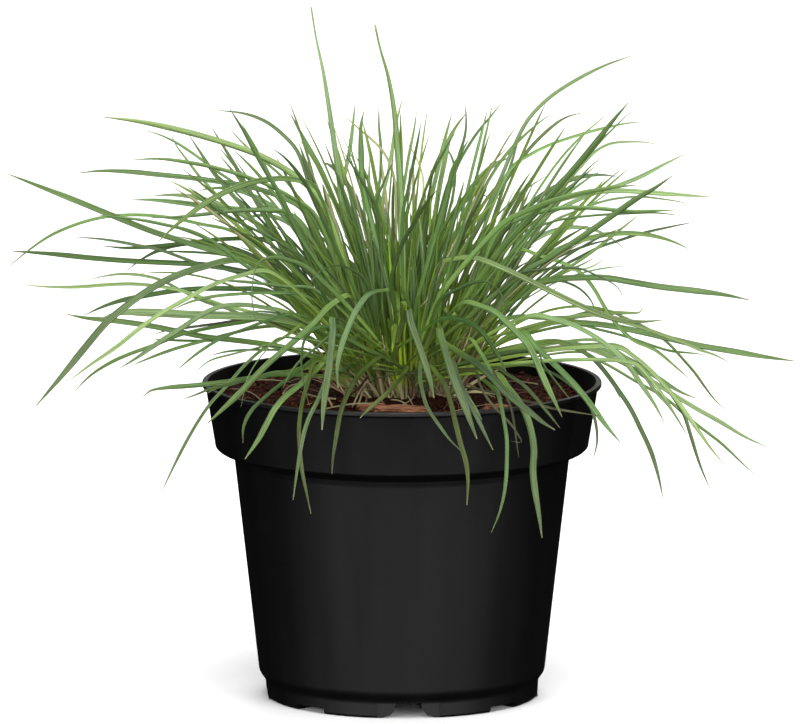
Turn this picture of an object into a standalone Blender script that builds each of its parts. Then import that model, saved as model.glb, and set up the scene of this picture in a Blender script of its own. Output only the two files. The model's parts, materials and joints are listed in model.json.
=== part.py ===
"""Potted ornamental grass: a clump of narrow arching leaves in a black nursery pot full of peat.

Metres, +Z up. The origin is the middle of the pot's underside, on the ground. The viewer stands at -Y
and sees +X to the right. The pot is a 3 litre container, 19 cm across its lip.
"""

import math

import bmesh
import bpy
import numpy as np
from mathutils import Matrix, Vector, noise

MM = 0.001
GAP = 0.3 * MM

# The pot's wall as radius and height in mm: up the inside, over the rolled lip, and down the outside.
POT_INSIDE = (
    (0.0, 1.6),
    (59.6, 1.6),
    (60.4, 8.6),
    (65.9, 13.6),
    (78.4, 114.6),
    (84.6, 118.1),
    (87.2, 121.6),
    (91.2, 146.0),
    (92.0, 150.2),
)
POT_LIP = (
    (92.6, 151.0),
    (94.3, 151.0),
    (95.0, 150.2),
    (95.0, 149.2),
    (94.3, 148.5),
    (93.4, 148.3),
)
POT_OUTSIDE = (
    (93.0, 146.4),
    (88.9, 120.4),
    (87.0, 117.6),
    (80.2, 114.8),
    (79.6, 113.2),
    (68.1, 11.8),
    (65.2, 7.9),
    (64.9, 0.8),
    (64.2, 0.0),
    (0.0, 0.0),
)
POT_STEPS = 40

# A cross of drainage channels runs under the floor, a little turned from the view. Its half-section in
# mm, as half-width and height, widens in a curve towards the ground.
BASE_TURN = math.radians(2.9)
CHANNEL_SECTION = (
    (5.9, 7.3),
    (6.7, 3.4),
    (8.8, 1.1),
    (13.2, -0.3),
)
CHANNEL_WALL = 1.5
FLOOR_TOP = 9.0
CHANNEL_REACH = 64.2
DRAIN_RADIUS = 5.0
DRAIN_PLACES = ((0, 0), (40, 0), (-40, 0), (0, 40), (0, -40))
# Notches in the foot ring, in mm: width, height, and how near the axis they are cut. There is a wide one
# in front and one behind, and four narrow ones, which run in under raised roofs in the floor.
WIDE_NOTCH = (30.0, 7.2, 62.2)
NARROW_NOTCH = (17.0, 2.5, 40.0)
NOTCH_REACH = 76.0
WIDE_TURNS = [BASE_TURN + math.radians(turn) for turn in (90, 270)]
NARROW_TURNS = [BASE_TURN + math.radians(turn) for turn in (45, 135, 225, 315)]
ROOF_WALL = 1.5
ROOF_REACH = 63.9

# The plug of peat, in mm. Its crumbly top rises and falls a little, and is level under the crown.
SOIL_SIDE = (
    (89.9, 142.6),
    (87.0, 121.8),
    (84.2, 118.6),
    (78.1, 116.2),
    (77.8, 113.2),
    (65.4, 13.8),
    (60.0, 8.9),
    (59.2, 1.9),
    (0.0, 1.9),
)
SOIL_TOP_RADII = (0.0, 38.0, 56.0, 74.0)
SOIL_TOP = 143.0
SOIL_STEPS = 24
SOIL_LUMP = 1.2
SOIL_LUMP_SIZE = 11.0

# Bark chips on the peat: place across and behind the axis, size along, across and up, and turn.
BARK_CHIPS = (
    ((-0.5, -57.6), (23.0, 12.0, 3.6), 4.0),
    ((-14.5, -43.5), (11.0, 6.0, 3.2), 24.0),
    ((44.0, -46.0), (11.0, 5.0, 2.6), -18.0),
    ((-30.0, 52.0), (15.0, 6.5, 3.0), 40.0),
)

# The crown: stem sheaths packed into a fluted dome, in mm.
CROWN_RADIUS = 30.0
CROWN_HEIGHT = 50.0
CROWN_FLARE = 0.25
CROWN_LOBES = 12
CROWN_LOBE_DEPTH = 0.06
CROWN_ROWS = 6
CROWN_FOOT = SOIL_TOP + 0.3

# The leaves grow from tillers, whose feet are spread through the crown by the golden angle, in mm.
TILLERS = 30
TILLER_SPREAD = 26.0
TILLER_LEAN = math.radians(34)
GOLDEN_ANGLE = math.radians(137.5078)

# Where the leaves were sighted from: a far, slightly raised viewpoint in front of the pot.
EYE = np.array((-0.0009, -5.0, 0.961))
AIM = np.array((-0.0009, 0.0, 0.160))
PICTURE_MIDDLE = (400.0, 362.0)
FOCAL_PIXELS = 10650.0

# How a leaf is made: where it leaves the crown's foot, how its depth grows, and its section.
BASE_SPREAD = 21.0
DEPTH_POWER = 1.3
SHEATH_RISE = 20.0
PATH_SAMPLES = 60
LONG_LEAF_SEGMENTS = 7
TUFT_LEAF_SEGMENTS = 4
THIN_TUFT_LEAF = 1.5
LEAF_THICKNESS = 0.6
LEAF_FOLD = 0.16
TURN_TO_VIEWER = 0.8
MOST_TURN = math.radians(65)
CLEARANCE = 0.7
LOW = 3.0
NUDGE_DEPTH = 2.5
NUDGE_TURN = math.radians(7)
TRIALS = 24
LIP_CLEARANCE = 1.0

GREEN = (0.13, 0.24, 0.06)
LIGHT = (0.24, 0.38, 0.13)
BLUE = (0.15, 0.26, 0.14)
DARK = (0.06, 0.12, 0.03)
YELLOW = (0.28, 0.34, 0.07)
TAN = (0.36, 0.27, 0.14)

# Long leaves: width in mm, colour, the tip's depth behind the axis in mm, and the picture's columns and
# rows that the leaf passes, from its tip inwards. A third number is the depth there.
LONG_LEAVES = (
    (3.2, LIGHT, 25, (311, 7), (316, 38), (323, 71), (328, 102), (334, 143), (340, 184), (343, 212)),
    (3.6, LIGHT, -60, (375, 25), (380, 48), (388, 76), (394, 110), (397, 143), (400, 180)),
    (2.0, LIGHT, 70, (634, 55), (604, 66), (573, 82), (548, 99), (528, 120), (514, 147), (498, 185)),
    (3.3, LIGHT, -45, (103, 117), (140, 122), (189, 133), (230, 145), (262, 157), (293, 175), (320, 200)),
    (2.0, BLUE, 95, (214, 110), (245, 114), (266, 122), (283, 135), (297, 151), (310, 186), (322, 215)),
    (3.0, GREEN, -35, (8, 174), (38, 186), (76, 201), (115, 217), (153, 232), (200, 247), (250, 262)),
    (1.7, GREEN, 40, (6, 269), (28, 251), (50, 236), (75, 225), (100, 218), (130, 215), (165, 217),
     (200, 224), (240, 235)),
    (2.7, DARK, 75, (11, 251), (51, 254), (90, 258), (128, 261), (170, 263), (205, 265), (240, 271),
     (290, 282)),
    (3.4, BLUE, -80, (36, 406), (66, 371), (88, 344), (106, 323), (120, 311), (140, 296), (165, 281),
     (200, 268), (250, 262)),
    (4.0, LIGHT, -30, (100, 319), (120, 313), (150, 313), (190, 315), (230, 316), (270, 318), (300, 324),
     (340, 337)),
    (2.8, DARK, 30, (66, 314), (85, 318), (115, 321), (150, 326), (175, 331), (205, 337), (240, 341),
     (275, 346), (300, 352)),
    (2.1, LIGHT, -100, (69, 381), (90, 365), (115, 348), (140, 328), (165, 311), (190, 297), (215, 284),
     (240, 276), (270, 272)),
    (2.4, LIGHT, -115, (120, 368), (135, 359), (155, 345), (180, 329), (205, 313), (220, 307), (240, 305),
     (265, 308), (290, 314)),
    (2.4, GREEN, -55, (143, 397), (150, 391), (165, 388), (190, 386), (210, 384, -45), (240, 380, -40),
     (265, 376), (290, 372), (315, 367)),
    (1.6, BLUE, -70, (161, 493), (172, 470), (184, 446), (199, 420), (211, 403, -60), (225, 388, -55),
     (245, 365), (262, 350), (285, 337), (310, 322)),
    (2.9, GREEN, -110, (208, 423), (222, 410), (240, 393, -88), (255, 377, -76), (270, 362), (290, 345),
     (312, 325), (330, 306), (350, 296)),
    (1.9, DARK, -125, (243, 443), (243, 430), (246, 420), (252, 410, -100), (262, 400, -88),
     (280, 385, -70), (300, 370), (320, 358)),
    (2.9, GREEN, -150, (245, 459), (258, 440), (266, 425), (274, 410, -115), (285, 397, -98),
     (300, 385, -80), (318, 368), (335, 352)),
    (2.0, YELLOW, -118, (311, 514), (306, 490), (302, 470), (300, 450), (299, 430, -110),
     (301, 410, -102), (304, 396, -92), (309, 380), (316, 362)),
    (2.0, BLUE, -140, (293, 500), (296, 478), (299, 458), (303, 437, -132), (309, 418, -120),
     (318, 400, -105), (324, 385, -92), (329, 372), (336, 355)),
    (3.3, BLUE, -158, (322, 430), (323, 415), (325, 395), (328, 375, -128), (331, 350, -105),
     (333, 330, -85), (334, 318, -70)),
    (2.3, YELLOW, -122, (332, 474), (333, 458), (336, 438, -118), (340, 415, -108), (345, 400, -95),
     (352, 386, -80), (360, 374), (368, 366), (382, 358)),
    (2.8, BLUE, -130, (338, 388), (337, 370), (340, 352), (346, 333), (354, 315, -95), (362, 302, -80),
     (370, 294, -65), (384, 291, -45), (396, 294, -30)),
    (2.0, YELLOW, -125, (360, 418), (370, 408, -112), (382, 398, -98), (393, 387, -82), (402, 376, -65),
     (408, 366, -50)),
    (3.4, BLUE, -128, (434, 398), (430, 380), (424, 360), (417, 340, -95), (411, 323, -80),
     (408, 310, -65)),
    (2.4, YELLOW, -150, (467, 505), (468, 480), (466, 462), (461, 445), (455, 420, -132),
     (450, 400, -115), (445, 385, -100), (438, 375), (428, 366)),
    (1.9, GREEN, -125, (491, 533), (498, 517), (503, 500), (506, 480), (507, 460), (507, 440, -118),
     (504, 420, -108), (500, 400, -95), (495, 385, -82), (488, 366), (480, 352), (468, 338)),
    (3.2, BLUE, -108, (542, 538), (539, 515), (535, 490), (533, 470), (534, 450, -104), (531, 430, -98),
     (526, 415, -92), (519, 402, -82), (508, 388, -68), (495, 374)),
    (3.5, BLUE, -158, (477, 439), (472, 426), (465, 407, -138), (456, 386, -118), (450, 368, -102),
     (445, 350), (441, 338, -74), (438, 328, -62)),
    (3.3, BLUE, -120, (555, 430), (545, 424), (532, 414, -110), (518, 403, -102), (505, 392, -93),
     (492, 378, -82), (478, 365), (462, 355), (448, 346), (436, 341)),
    (3.1, GREEN, -90, (562, 417), (555, 402, -84), (548, 388, -76), (541, 372), (535, 358), (528, 345),
     (519, 335), (507, 323), (495, 312), (480, 306), (462, 303)),
    (2.9, GREEN, -68, (620, 442), (608, 428), (596, 412, -62), (584, 396, -56), (570, 380, -50),
     (556, 366), (545, 356), (535, 346), (522, 332)),
    (1.5, BLUE, -62, (593, 460), (597, 442), (596, 425), (591, 408, -56), (583, 397, -54),
     (572, 386, -50), (556, 375), (545, 370), (525, 365)),
    (2.3, BLUE, -52, (663, 498), (658, 475), (651, 452), (641, 430), (630, 408), (618, 390), (605, 372),
     (592, 358), (575, 348), (550, 342)),
    (1.8, LIGHT, 55, (710, 489), (700, 465), (692, 440), (684, 415), (675, 400), (664, 385), (650, 370),
     (635, 357), (615, 345)),
    (1.5, LIGHT, 95, (755, 475), (740, 461), (722, 444), (700, 427), (685, 415), (668, 400), (650, 389),
     (635, 381), (615, 369), (598, 360), (580, 352)),
    (2.1, LIGHT, -75, (724, 464), (712, 450), (700, 433), (688, 416), (678, 402), (666, 387), (652, 372),
     (636, 358), (615, 347)),
    (2.2, LIGHT, -12, (767, 447), (745, 437), (720, 422), (695, 408), (672, 394), (650, 380), (628, 366),
     (605, 355), (580, 348)),
    (3.0, GREEN, 15, (794, 361), (765, 357), (730, 351), (700, 346), (670, 339), (640, 332), (610, 326),
     (580, 323), (550, 323)),
    (3.1, GREEN, -45, (749, 300), (725, 295), (695, 291), (660, 287), (630, 282), (605, 278), (580, 278),
     (560, 279), (535, 284)),
    (2.6, LIGHT, 60, (711, 197), (680, 195), (650, 193), (620, 191), (590, 193), (560, 200), (535, 210)),
    (2.2, LIGHT, 110, (685, 154), (665, 164), (640, 177), (620, 185), (590, 195), (565, 206), (540, 220)),
    (2.9, GREEN, -70, (672, 176), (655, 188), (635, 200), (615, 214), (595, 228), (570, 245), (550, 258),
     (525, 272)),
    (2.9, GREEN, -95, (628, 103), (612, 122), (598, 140), (580, 162), (560, 185), (540, 207), (520, 228),
     (500, 250)),
    (2.8, LIGHT, -105, (664, 320), (640, 322), (615, 319), (590, 310), (560, 296), (530, 281), (500, 267),
     (475, 258), (454, 259), (438, 266)),
    (2.4, LIGHT, -85, (664, 422), (655, 405), (643, 387), (630, 368), (615, 352), (600, 340), (585, 331),
     (570, 324), (550, 318), (530, 316)),
    (2.8, GREEN, -85, (159, 241), (175, 226), (190, 214), (210, 200), (230, 190), (250, 183), (275, 179),
     (295, 180), (315, 188)),
    (2.2, GREEN, -120, (258, 326), (254, 312), (252, 295), (253, 280), (256, 268), (262, 261), (272, 258),
     (290, 261), (310, 270)),
    (1.8, LIGHT, -55, (24, 285), (50, 287), (78, 287), (105, 285), (130, 284), (155, 286), (178, 290),
     (200, 297), (225, 306), (250, 312)),
)

DRY_LEAVES = (
    (1.2, TAN, -82, (600, 416), (580, 413, -81), (550, 408, -78), (538, 404, -74), (520, 400, -64),
     (500, 394, -50)),
    (1.2, TAN, -112, (510, 441), (517, 442, -112), (522, 443, -111), (515, 430, -109), (505, 418, -104),
     (495, 408, -98), (487, 398, -90), (480, 385, -78), (475, 372, -64)),
    (1.2, TAN, -116, (519, 458), (517, 445), (515, 430), (512, 412, -104), (507, 398, -90), (498, 380),
     (490, 370)),
    (1.4, TAN, 30, (153, 335), (165, 331), (185, 328), (215, 324), (245, 320), (270, 322)),
)

# Leaves that stay joined to the crown, read in the same way.
TUFT_LEAVES = (
    (2.3, GREEN, 60, (290, 113), (306, 143), (321, 170), (334, 200), (345, 225)),
    (2.2, GREEN, -85, (230, 109), (246, 135), (262, 165), (277, 190), (290, 215), (302, 240)),
    (1.9, DARK, 10, (75, 391), (90, 376), (110, 363), (130, 354), (155, 345), (180, 335), (210, 328),
     (240, 323), (270, 320)),
    (1.8, GREEN, 60, (131, 366), (150, 358), (175, 349), (200, 342), (230, 334), (255, 328), (280, 326),
     (305, 328)),
    (1.8, BLUE, -100, (560, 428), (548, 413, -92), (535, 397, -80), (522, 384, -68), (508, 375),
     (496, 368)),
    (2.3, DARK, -78, (570, 399), (561, 389), (549, 374), (542, 363), (537, 352)),
    (1.4, LIGHT, 105, (726, 410), (715, 400), (705, 387), (695, 373), (682, 358), (668, 343), (650, 330),
     (625, 318), (600, 310)),
    (1.5, BLUE, 90, (695, 222), (670, 227), (640, 234), (615, 242), (600, 247), (580, 257), (560, 268)),
    (1.8, BLUE, 130, (586, 112), (565, 118), (545, 133), (527, 152), (510, 175), (497, 195)),
    (1.5, DARK, 100, (503, 101), (492, 115), (478, 132), (468, 147), (458, 165), (450, 190)),
    (1.4, BLUE, 150, (464, 101), (466, 115), (465, 135), (459, 155), (452, 180), (447, 205)),
    (2.1, GREEN, 60, (452, 113), (446, 135), (440, 160), (433, 190), (427, 215)),
    (2.0, GREEN, 160, (355, 103), (353, 125), (350, 150), (344, 180), (341, 205)),
    (1.6, GREEN, -130, (421, 122), (418, 140), (413, 165), (408, 190), (403, 215)),
    (1.6, LIGHT, 110, (403, 96), (400, 108), (396, 125), (392, 150), (388, 175), (383, 200)),
    (2.8, GREEN, -25, (364, 111), (361, 125), (361, 150), (362, 175), (366, 200), (372, 225)),
    (1.5, GREEN, 140, (379, 104), (379, 125), (381, 150), (380, 180), (376, 205)),
    (1.9, DARK, -110, (272, 148), (285, 158), (297, 172), (308, 188), (318, 210), (330, 235)),
    (2.4, BLUE, 45, (299, 143), (304, 158), (310, 175), (317, 195), (325, 215)),
    (1.4, GREEN, 70, (228, 126), (238, 138), (250, 150), (265, 162), (285, 180), (300, 200)),
    (1.5, GREEN, 85, (141, 129), (160, 135), (175, 142), (195, 155), (215, 170), (240, 187), (262, 205)),
    (2.2, GREEN, -20, (131, 160), (160, 159), (190, 163), (215, 168), (240, 175), (265, 184),
     (290, 197), (315, 215)),
    (2.6, GREEN, 55, (79, 173), (100, 171), (130, 172), (160, 175), (190, 178), (220, 182), (250, 187),
     (280, 197), (305, 212)),
    (1.4, GREEN, 110, (170, 131), (176, 145), (187, 160), (200, 177), (215, 193), (235, 215), (255, 240)),
    (2.2, GREEN, 20, (189, 135), (200, 152), (213, 172), (228, 190), (245, 210), (262, 232), (280, 255)),
    (1.4, GREEN, 135, (217, 145), (227, 157), (238, 170), (255, 185), (275, 205)),
    (1.5, DARK, -65, (184, 185), (200, 195), (215, 208), (235, 220), (255, 230), (280, 243), (305, 262)),
    (2.8, GREEN, 65, (131, 200), (150, 200), (180, 203), (210, 207), (245, 210), (280, 212), (300, 222)),
    (2.2, GREEN, -10, (150, 218), (180, 217), (210, 214), (240, 211), (270, 211), (290, 214)),
    (2.2, DARK, 95, (103, 246), (125, 248), (150, 247), (180, 244), (205, 241), (230, 239), (260, 239),
     (285, 243)),
    (1.6, BLUE, 15, (74, 237), (100, 239), (120, 242), (140, 246), (160, 250), (185, 259), (205, 266),
     (230, 270), (260, 276)),
    (1.8, GREEN, -60, (97, 215), (115, 217), (140, 220), (165, 225), (190, 231), (210, 240), (225, 250),
     (240, 262), (255, 272)),
    (1.4, DARK, 120, (151, 255), (160, 252), (185, 252), (215, 254), (240, 258), (265, 262)),
    (1.5, LIGHT, -20, (88, 280), (105, 276), (125, 274), (150, 277), (165, 282), (180, 290), (205, 302),
     (230, 310)),
    (2.6, DARK, 50, (85, 315), (100, 308), (120, 301), (145, 296), (175, 291), (200, 289), (235, 289),
     (270, 292)),
    (1.6, GREEN, -75, (172, 310), (190, 302), (210, 297), (240, 294), (275, 293), (310, 298)),
    (1.4, DARK, 95, (151, 339), (165, 340), (200, 341), (240, 340), (270, 345)),
    (1.5, DARK, -100, (176, 371), (190, 359), (205, 348), (222, 338), (245, 329), (270, 320),
     (300, 315)),
    (1.2, GREEN, 70, (209, 356), (225, 352), (245, 350), (280, 350), (310, 350)),
    (1.3, LIGHT, -85, (192, 380), (200, 368), (212, 360), (230, 355), (250, 350), (275, 346)),
    (1.4, DARK, -75, (181, 400), (195, 395), (210, 389, -68), (225, 385, -60), (240, 381), (262, 376)),
    (1.6, GREEN, -45, (206, 394), (215, 389), (232, 384, -40), (255, 378), (280, 372)),
    (1.2, GREEN, -105, (241, 407), (244, 392), (247, 380), (255, 365), (265, 352), (280, 338)),
    (1.7, DARK, -100, (311, 283), (316, 275), (325, 269), (335, 266), (345, 267), (355, 272),
     (365, 281)),
    (1.7, DARK, -115, (309, 405), (305, 390), (302, 375), (301, 358), (303, 343), (308, 334),
     (318, 328), (335, 327), (352, 332)),
    (1.2, DARK, -95, (318, 378), (330, 374), (345, 369), (360, 362)),
    (2.4, DARK, -80, (283, 388), (291, 373), (302, 360), (318, 347), (335, 336)),
    (1.8, DARK, -110, (506, 320), (504, 305), (500, 292), (494, 286), (485, 282), (470, 284), (455, 291),
     (440, 300)),
    (2.4, DARK, -135, (506, 371), (499, 356), (491, 343), (483, 333), (474, 325), (462, 320), (450, 318),
     (437, 321)),
    (1.6, LIGHT, -15, (688, 437), (678, 420), (668, 405), (655, 391), (645, 377), (632, 362), (615, 350),
     (595, 340)),
    (1.9, LIGHT, -95, (676, 415), (668, 402), (660, 391), (648, 376), (632, 363)),
    (2.8, LIGHT, 75, (695, 398), (680, 392), (665, 383), (645, 370), (625, 358), (600, 350), (570, 344),
     (545, 342)),
    (1.5, GREEN, 125, (707, 355), (690, 353), (670, 351), (650, 345), (630, 338), (600, 330), (570, 325)),
    (1.8, LIGHT, -75, (730, 363), (715, 355), (700, 350), (685, 343), (660, 334), (640, 327), (615, 320),
     (585, 315)),
    (1.9, GREEN, -20, (692, 381), (678, 369), (655, 350), (633, 340), (617, 325), (605, 308), (592, 286),
     (578, 271), (560, 262), (540, 256), (515, 250)),
    (1.5, DARK, 45, (597, 322), (592, 303), (582, 291), (570, 284), (558, 281), (545, 284), (530, 290)),
    (1.4, BLUE, -55, (621, 306), (622, 296), (618, 288), (608, 281), (595, 275), (580, 269), (560, 268),
     (540, 270), (515, 276)),
    (2.2, GREEN, 30, (642, 306), (641, 312), (630, 313), (610, 313), (590, 315), (565, 318), (540, 318),
     (510, 318)),
    (1.3, LIGHT, 60, (606, 257), (597, 264), (585, 269), (570, 270), (550, 268)),
    (1.4, GREEN, 105, (596, 257), (585, 263), (570, 270), (550, 280), (530, 292)),
    (1.6, GREEN, 35, (640, 214), (620, 230), (600, 246), (585, 257), (565, 270), (545, 282), (520, 298)),
    (1.4, GREEN, -20, (684, 216), (655, 213), (620, 214), (590, 216), (560, 220), (535, 228),
     (515, 238)),
    (2.5, GREEN, -60, (677, 210), (655, 211), (630, 212), (600, 209), (570, 208), (545, 211), (520, 219),
     (498, 232)),
    (1.4, LIGHT, 125, (695, 206), (680, 202), (660, 199), (640, 197), (615, 199), (595, 204), (575, 212),
     (550, 224)),
    (2.8, GREEN, -110, (638, 185), (620, 187), (600, 190), (575, 195), (550, 202), (525, 212),
     (500, 226)),
    (1.5, LIGHT, 85, (664, 147), (650, 143), (630, 142), (610, 144), (595, 152), (580, 168), (562, 188),
     (545, 210)),
    (1.8, GREEN, 100, (647, 122), (630, 123), (610, 127), (590, 132), (570, 138), (550, 145), (530, 155),
     (510, 170)),
    (1.2, GREEN, 70, (637, 108), (625, 117), (615, 127), (600, 142), (585, 160)),
    (1.2, GREEN, 20, (611, 110), (598, 122), (585, 133), (570, 148), (558, 162), (545, 180), (530, 203)),
    (1.4, GREEN, -50, (603, 156), (590, 167), (578, 180), (565, 193), (548, 210), (530, 230)),
    (1.8, DARK, -15, (595, 166), (585, 175), (570, 187), (550, 202), (533, 218), (515, 238)),
    (1.6, GREEN, 15, (553, 113), (540, 122), (525, 135), (510, 150), (497, 167), (485, 187), (475, 208)),
    (1.3, TAN, -60, (515, 128), (508, 138), (500, 152), (490, 170), (480, 190), (470, 212)),
    (1.3, GREEN, -140, (491, 130), (486, 145), (480, 165), (474, 185), (468, 207)),
    (2.4, GREEN, 25, (467, 112), (456, 127), (449, 140), (445, 160), (440, 185), (436, 210)),
    (2.2, GREEN, -85, (469, 139), (460, 155), (452, 172), (447, 195), (440, 220)),
    (1.4, DARK, 70, (441, 136), (446, 147), (452, 158), (455, 172), (453, 195), (447, 220)),
    (1.4, TAN, 90, (339, 114), (350, 121), (360, 130), (372, 140), (384, 153), (392, 170), (396, 195)),
    (1.1, TAN, 130, (402, 137), (410, 147), (418, 162), (423, 178), (423, 197), (420, 220)),
    (1.6, DARK, -55, (343, 151), (350, 162), (358, 175), (368, 192), (378, 212)),
    (1.4, DARK, 10, (394, 160), (389, 170), (384, 182), (377, 202)),
    (2.0, DARK, -120, (437, 190), (425, 205), (413, 225), (402, 245), (395, 265), (391, 285)),
    (1.5, GREEN, 40, (417, 109), (414, 130), (409, 155), (405, 180), (402, 205)),
    (1.8, GREEN, -35, (213, 280), (230, 281), (255, 283), (285, 287), (315, 290)),
    (2.0, BLUE, -128, (461, 451), (450, 440), (438, 424, -118), (428, 409, -108), (422, 390, -90),
     (420, 370, -72), (424, 352)),
    (2.2, BLUE, -172, (493, 450), (487, 438), (480, 424, -154), (472, 408, -138), (464, 392, -122),
     (458, 378), (450, 360)),
    (2.0, GREEN, -142, (482, 420), (477, 411), (470, 401, -126), (463, 390), (455, 377), (447, 365)),
    (1.3, TAN, -5, (622, 403), (615, 388), (608, 376), (600, 366), (588, 356), (570, 347)),
)

# Leaves behind the clump, out of the viewer's sight: bearing from +X in degrees, length in mm, and lean
# from upright in degrees at the foot and at the tip.
FAR_LEAVES = (
    (28, 172, 30, 118),
    (41, 178, 22, 104),
    (53, 186, 34, 126),
    (64, 160, 16, 92),
    (75, 182, 30, 112),
    (86, 176, 24, 132),
    (97, 183, 36, 108),
    (108, 164, 18, 96),
    (119, 184, 32, 122),
    (130, 176, 26, 106),
    (142, 180, 34, 128),
    (154, 166, 24, 100),
)
FAR_LEAF_WIDTH = 2.6


def lengths_along(points):
    """The distance from the first point to each, along the line through them."""
    steps = np.linalg.norm(np.diff(points, axis=0), axis=1)
    return np.concatenate([[0.0], np.cumsum(steps)])


def resampled(points, count):
    """The same line as evenly spaced points."""
    along = lengths_along(points)
    wanted = np.linspace(0.0, along[-1], count)
    return np.stack([np.interp(wanted, along, points[:, axis]) for axis in range(3)], axis=1)


def smooth_curve(knots, count):
    """Evenly spaced points on the centripetal Catmull-Rom curve through the knots."""
    first = 2 * knots[0] - knots[1]
    last = 2 * knots[-1] - knots[-2]
    knots = np.vstack([first, knots, last])
    pieces = []
    for a, b, c, d in zip(knots, knots[1:], knots[2:], knots[3:]):
        ta = 0.0
        tb = ta + math.sqrt(np.linalg.norm(b - a))
        tc = tb + math.sqrt(np.linalg.norm(c - b))
        td = tc + math.sqrt(np.linalg.norm(d - c))
        t = np.linspace(tb, tc, 12)[:, None]
        ab = (tb - t) / (tb - ta) * a + (t - ta) / (tb - ta) * b
        bc = (tc - t) / (tc - tb) * b + (t - tb) / (tc - tb) * c
        cd = (td - t) / (td - tc) * c + (t - tc) / (td - tc) * d
        abc = (tc - t) / (tc - ta) * ab + (t - ta) / (tc - ta) * bc
        bcd = (td - t) / (td - tb) * bc + (t - tb) / (td - tb) * cd
        pieces.append((tc - t) / (tc - tb) * abc + (t - tb) / (tc - tb) * bcd)
    return resampled(np.vstack(pieces), count)


def sighted(column, row, depth):
    """The point this far behind the pot's axis that the picture shows at this column and row."""
    forward = (AIM - EYE) / np.linalg.norm(AIM - EYE)
    right = np.array((1.0, 0.0, 0.0))
    up = np.cross(right, forward)
    across = column - PICTURE_MIDDLE[0]
    down = row - PICTURE_MIDDLE[1]
    ray = forward * FOCAL_PIXELS + right * across - up * down
    return EYE + ray * ((depth - EYE[1]) / ray[1])


def crown_radius(height, bearing=0.0):
    """The crown's radius at this height above its foot, in metres."""
    part = min(max(height / (CROWN_HEIGHT * MM), 0.0), 1.0)
    lobes = 1 + CROWN_LOBE_DEPTH * math.cos(CROWN_LOBES * bearing)
    return CROWN_RADIUS * MM * (1 + CROWN_FLARE * part) * math.sqrt(1 - part**4) * lobes


def in_crown(point, margin):
    """Whether a point lies inside the crown or within this margin of it."""
    height = point[2] - CROWN_FOOT * MM
    radius = math.hypot(point[0], point[1])
    if height > CROWN_HEIGHT * MM + margin:
        return False
    if height < LOW * MM and radius < CROWN_RADIUS * MM:
        return True
    return radius < crown_radius(height) * (1 + CROWN_LOBE_DEPTH) + margin


def tiller_foot(number):
    """Where this tiller comes out of the peat."""
    radius = TILLER_SPREAD * MM * math.sqrt((number + 0.5) / TILLERS)
    bearing = GOLDEN_ANGLE * number
    return np.array((radius * math.cos(bearing), radius * math.sin(bearing), (CROWN_FOOT + 0.2) * MM))


def tiller_axis(foot):
    """The direction that a tiller with this foot grows in, leaning out more the further out it stands."""
    lean = TILLER_LEAN * math.hypot(foot[0], foot[1]) / (TILLER_SPREAD * MM)
    bearing = math.atan2(foot[1], foot[0])
    return np.array((math.sin(lean) * math.cos(bearing), math.sin(lean) * math.sin(bearing), math.cos(lean)))


def nearest_foot(x, y):
    """The foot of the tiller nearest to this place."""
    feet = [tiller_foot(number) for number in range(TILLERS)]
    return min(feet, key=lambda foot: math.hypot(foot[0] - x, foot[1] - y))


def leaf_path(row, number, nudge):
    """The leaf's middle line from the crown's foot to its tip, as evenly spaced points."""
    tip_depth = row[2]
    sightings = row[3:]
    outward = -1.0 if tip_depth < 0 else 1.0
    shift = outward * NUDGE_DEPTH * nudge

    tip = sighted(sightings[0][0], sightings[0][1], (tip_depth + shift) * MM)
    reach = math.hypot(tip[0], tip[1])
    rise = max(tip[2] - SOIL_TOP * MM, MM)
    lean = math.atan2(reach, rise) / (math.pi / 2)
    spread = BASE_SPREAD * MM * lean**0.8
    bearing = math.atan2(tip[1], tip[0]) + 0.2 * math.sin(2.4 * number) + NUDGE_TURN * nudge
    base = nearest_foot(spread * math.cos(bearing), spread * math.sin(bearing))

    # Depth is read off between the places where it is stated, by how far along the picture they are.
    base_column = PICTURE_MIDDLE[0] + base[0] * FOCAL_PIXELS / -EYE[1]
    flat = np.array([(base_column, 390.0, 0.0)] + [(s[0], s[1], 0.0) for s in reversed(sightings)])
    part = (lengths_along(flat) / lengths_along(flat)[-1]) ** DEPTH_POWER
    stated = [(part[0], base[1] / MM)]
    for where, sighting in zip(part[1:-1], reversed(sightings[1:])):
        if len(sighting) == 3:
            stated.append((where, sighting[2] + shift * where))
    stated.append((1.0, tip_depth + shift))
    depths = np.interp(part[1:], *zip(*stated)) * MM
    seen = [sighted(s[0], s[1], depth) for s, depth in zip(reversed(sightings), depths)]

    sheath = min(SHEATH_RISE * MM, max(0.45 * (seen[0][2] - base[2]), 4 * MM))
    return smooth_curve(np.array([base, base + tiller_axis(base) * sheath, *seen]), PATH_SAMPLES)


def far_leaf_path(bearing, length, lean_at_foot, lean_at_tip, nudge):
    """A leaf that leaves the crown at one lean and bends over to another."""
    bearing = math.radians(bearing) + NUDGE_TURN * nudge
    parts = np.linspace(0.0, 1.0, PATH_SAMPLES)
    leans = np.radians(lean_at_foot + (lean_at_tip - lean_at_foot) * parts**1.4)
    step = length * MM / (PATH_SAMPLES - 1)
    out = np.concatenate([[0.0], np.cumsum(np.sin(leans[1:]) * step)])
    up = np.concatenate([[0.0], np.cumsum(np.cos(leans[1:]) * step)])
    spread = 0.8 * BASE_SPREAD * MM
    foot = nearest_foot(spread * math.cos(bearing), spread * math.sin(bearing))
    return foot + np.stack([out * math.cos(bearing), out * math.sin(bearing), up], axis=1)


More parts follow.
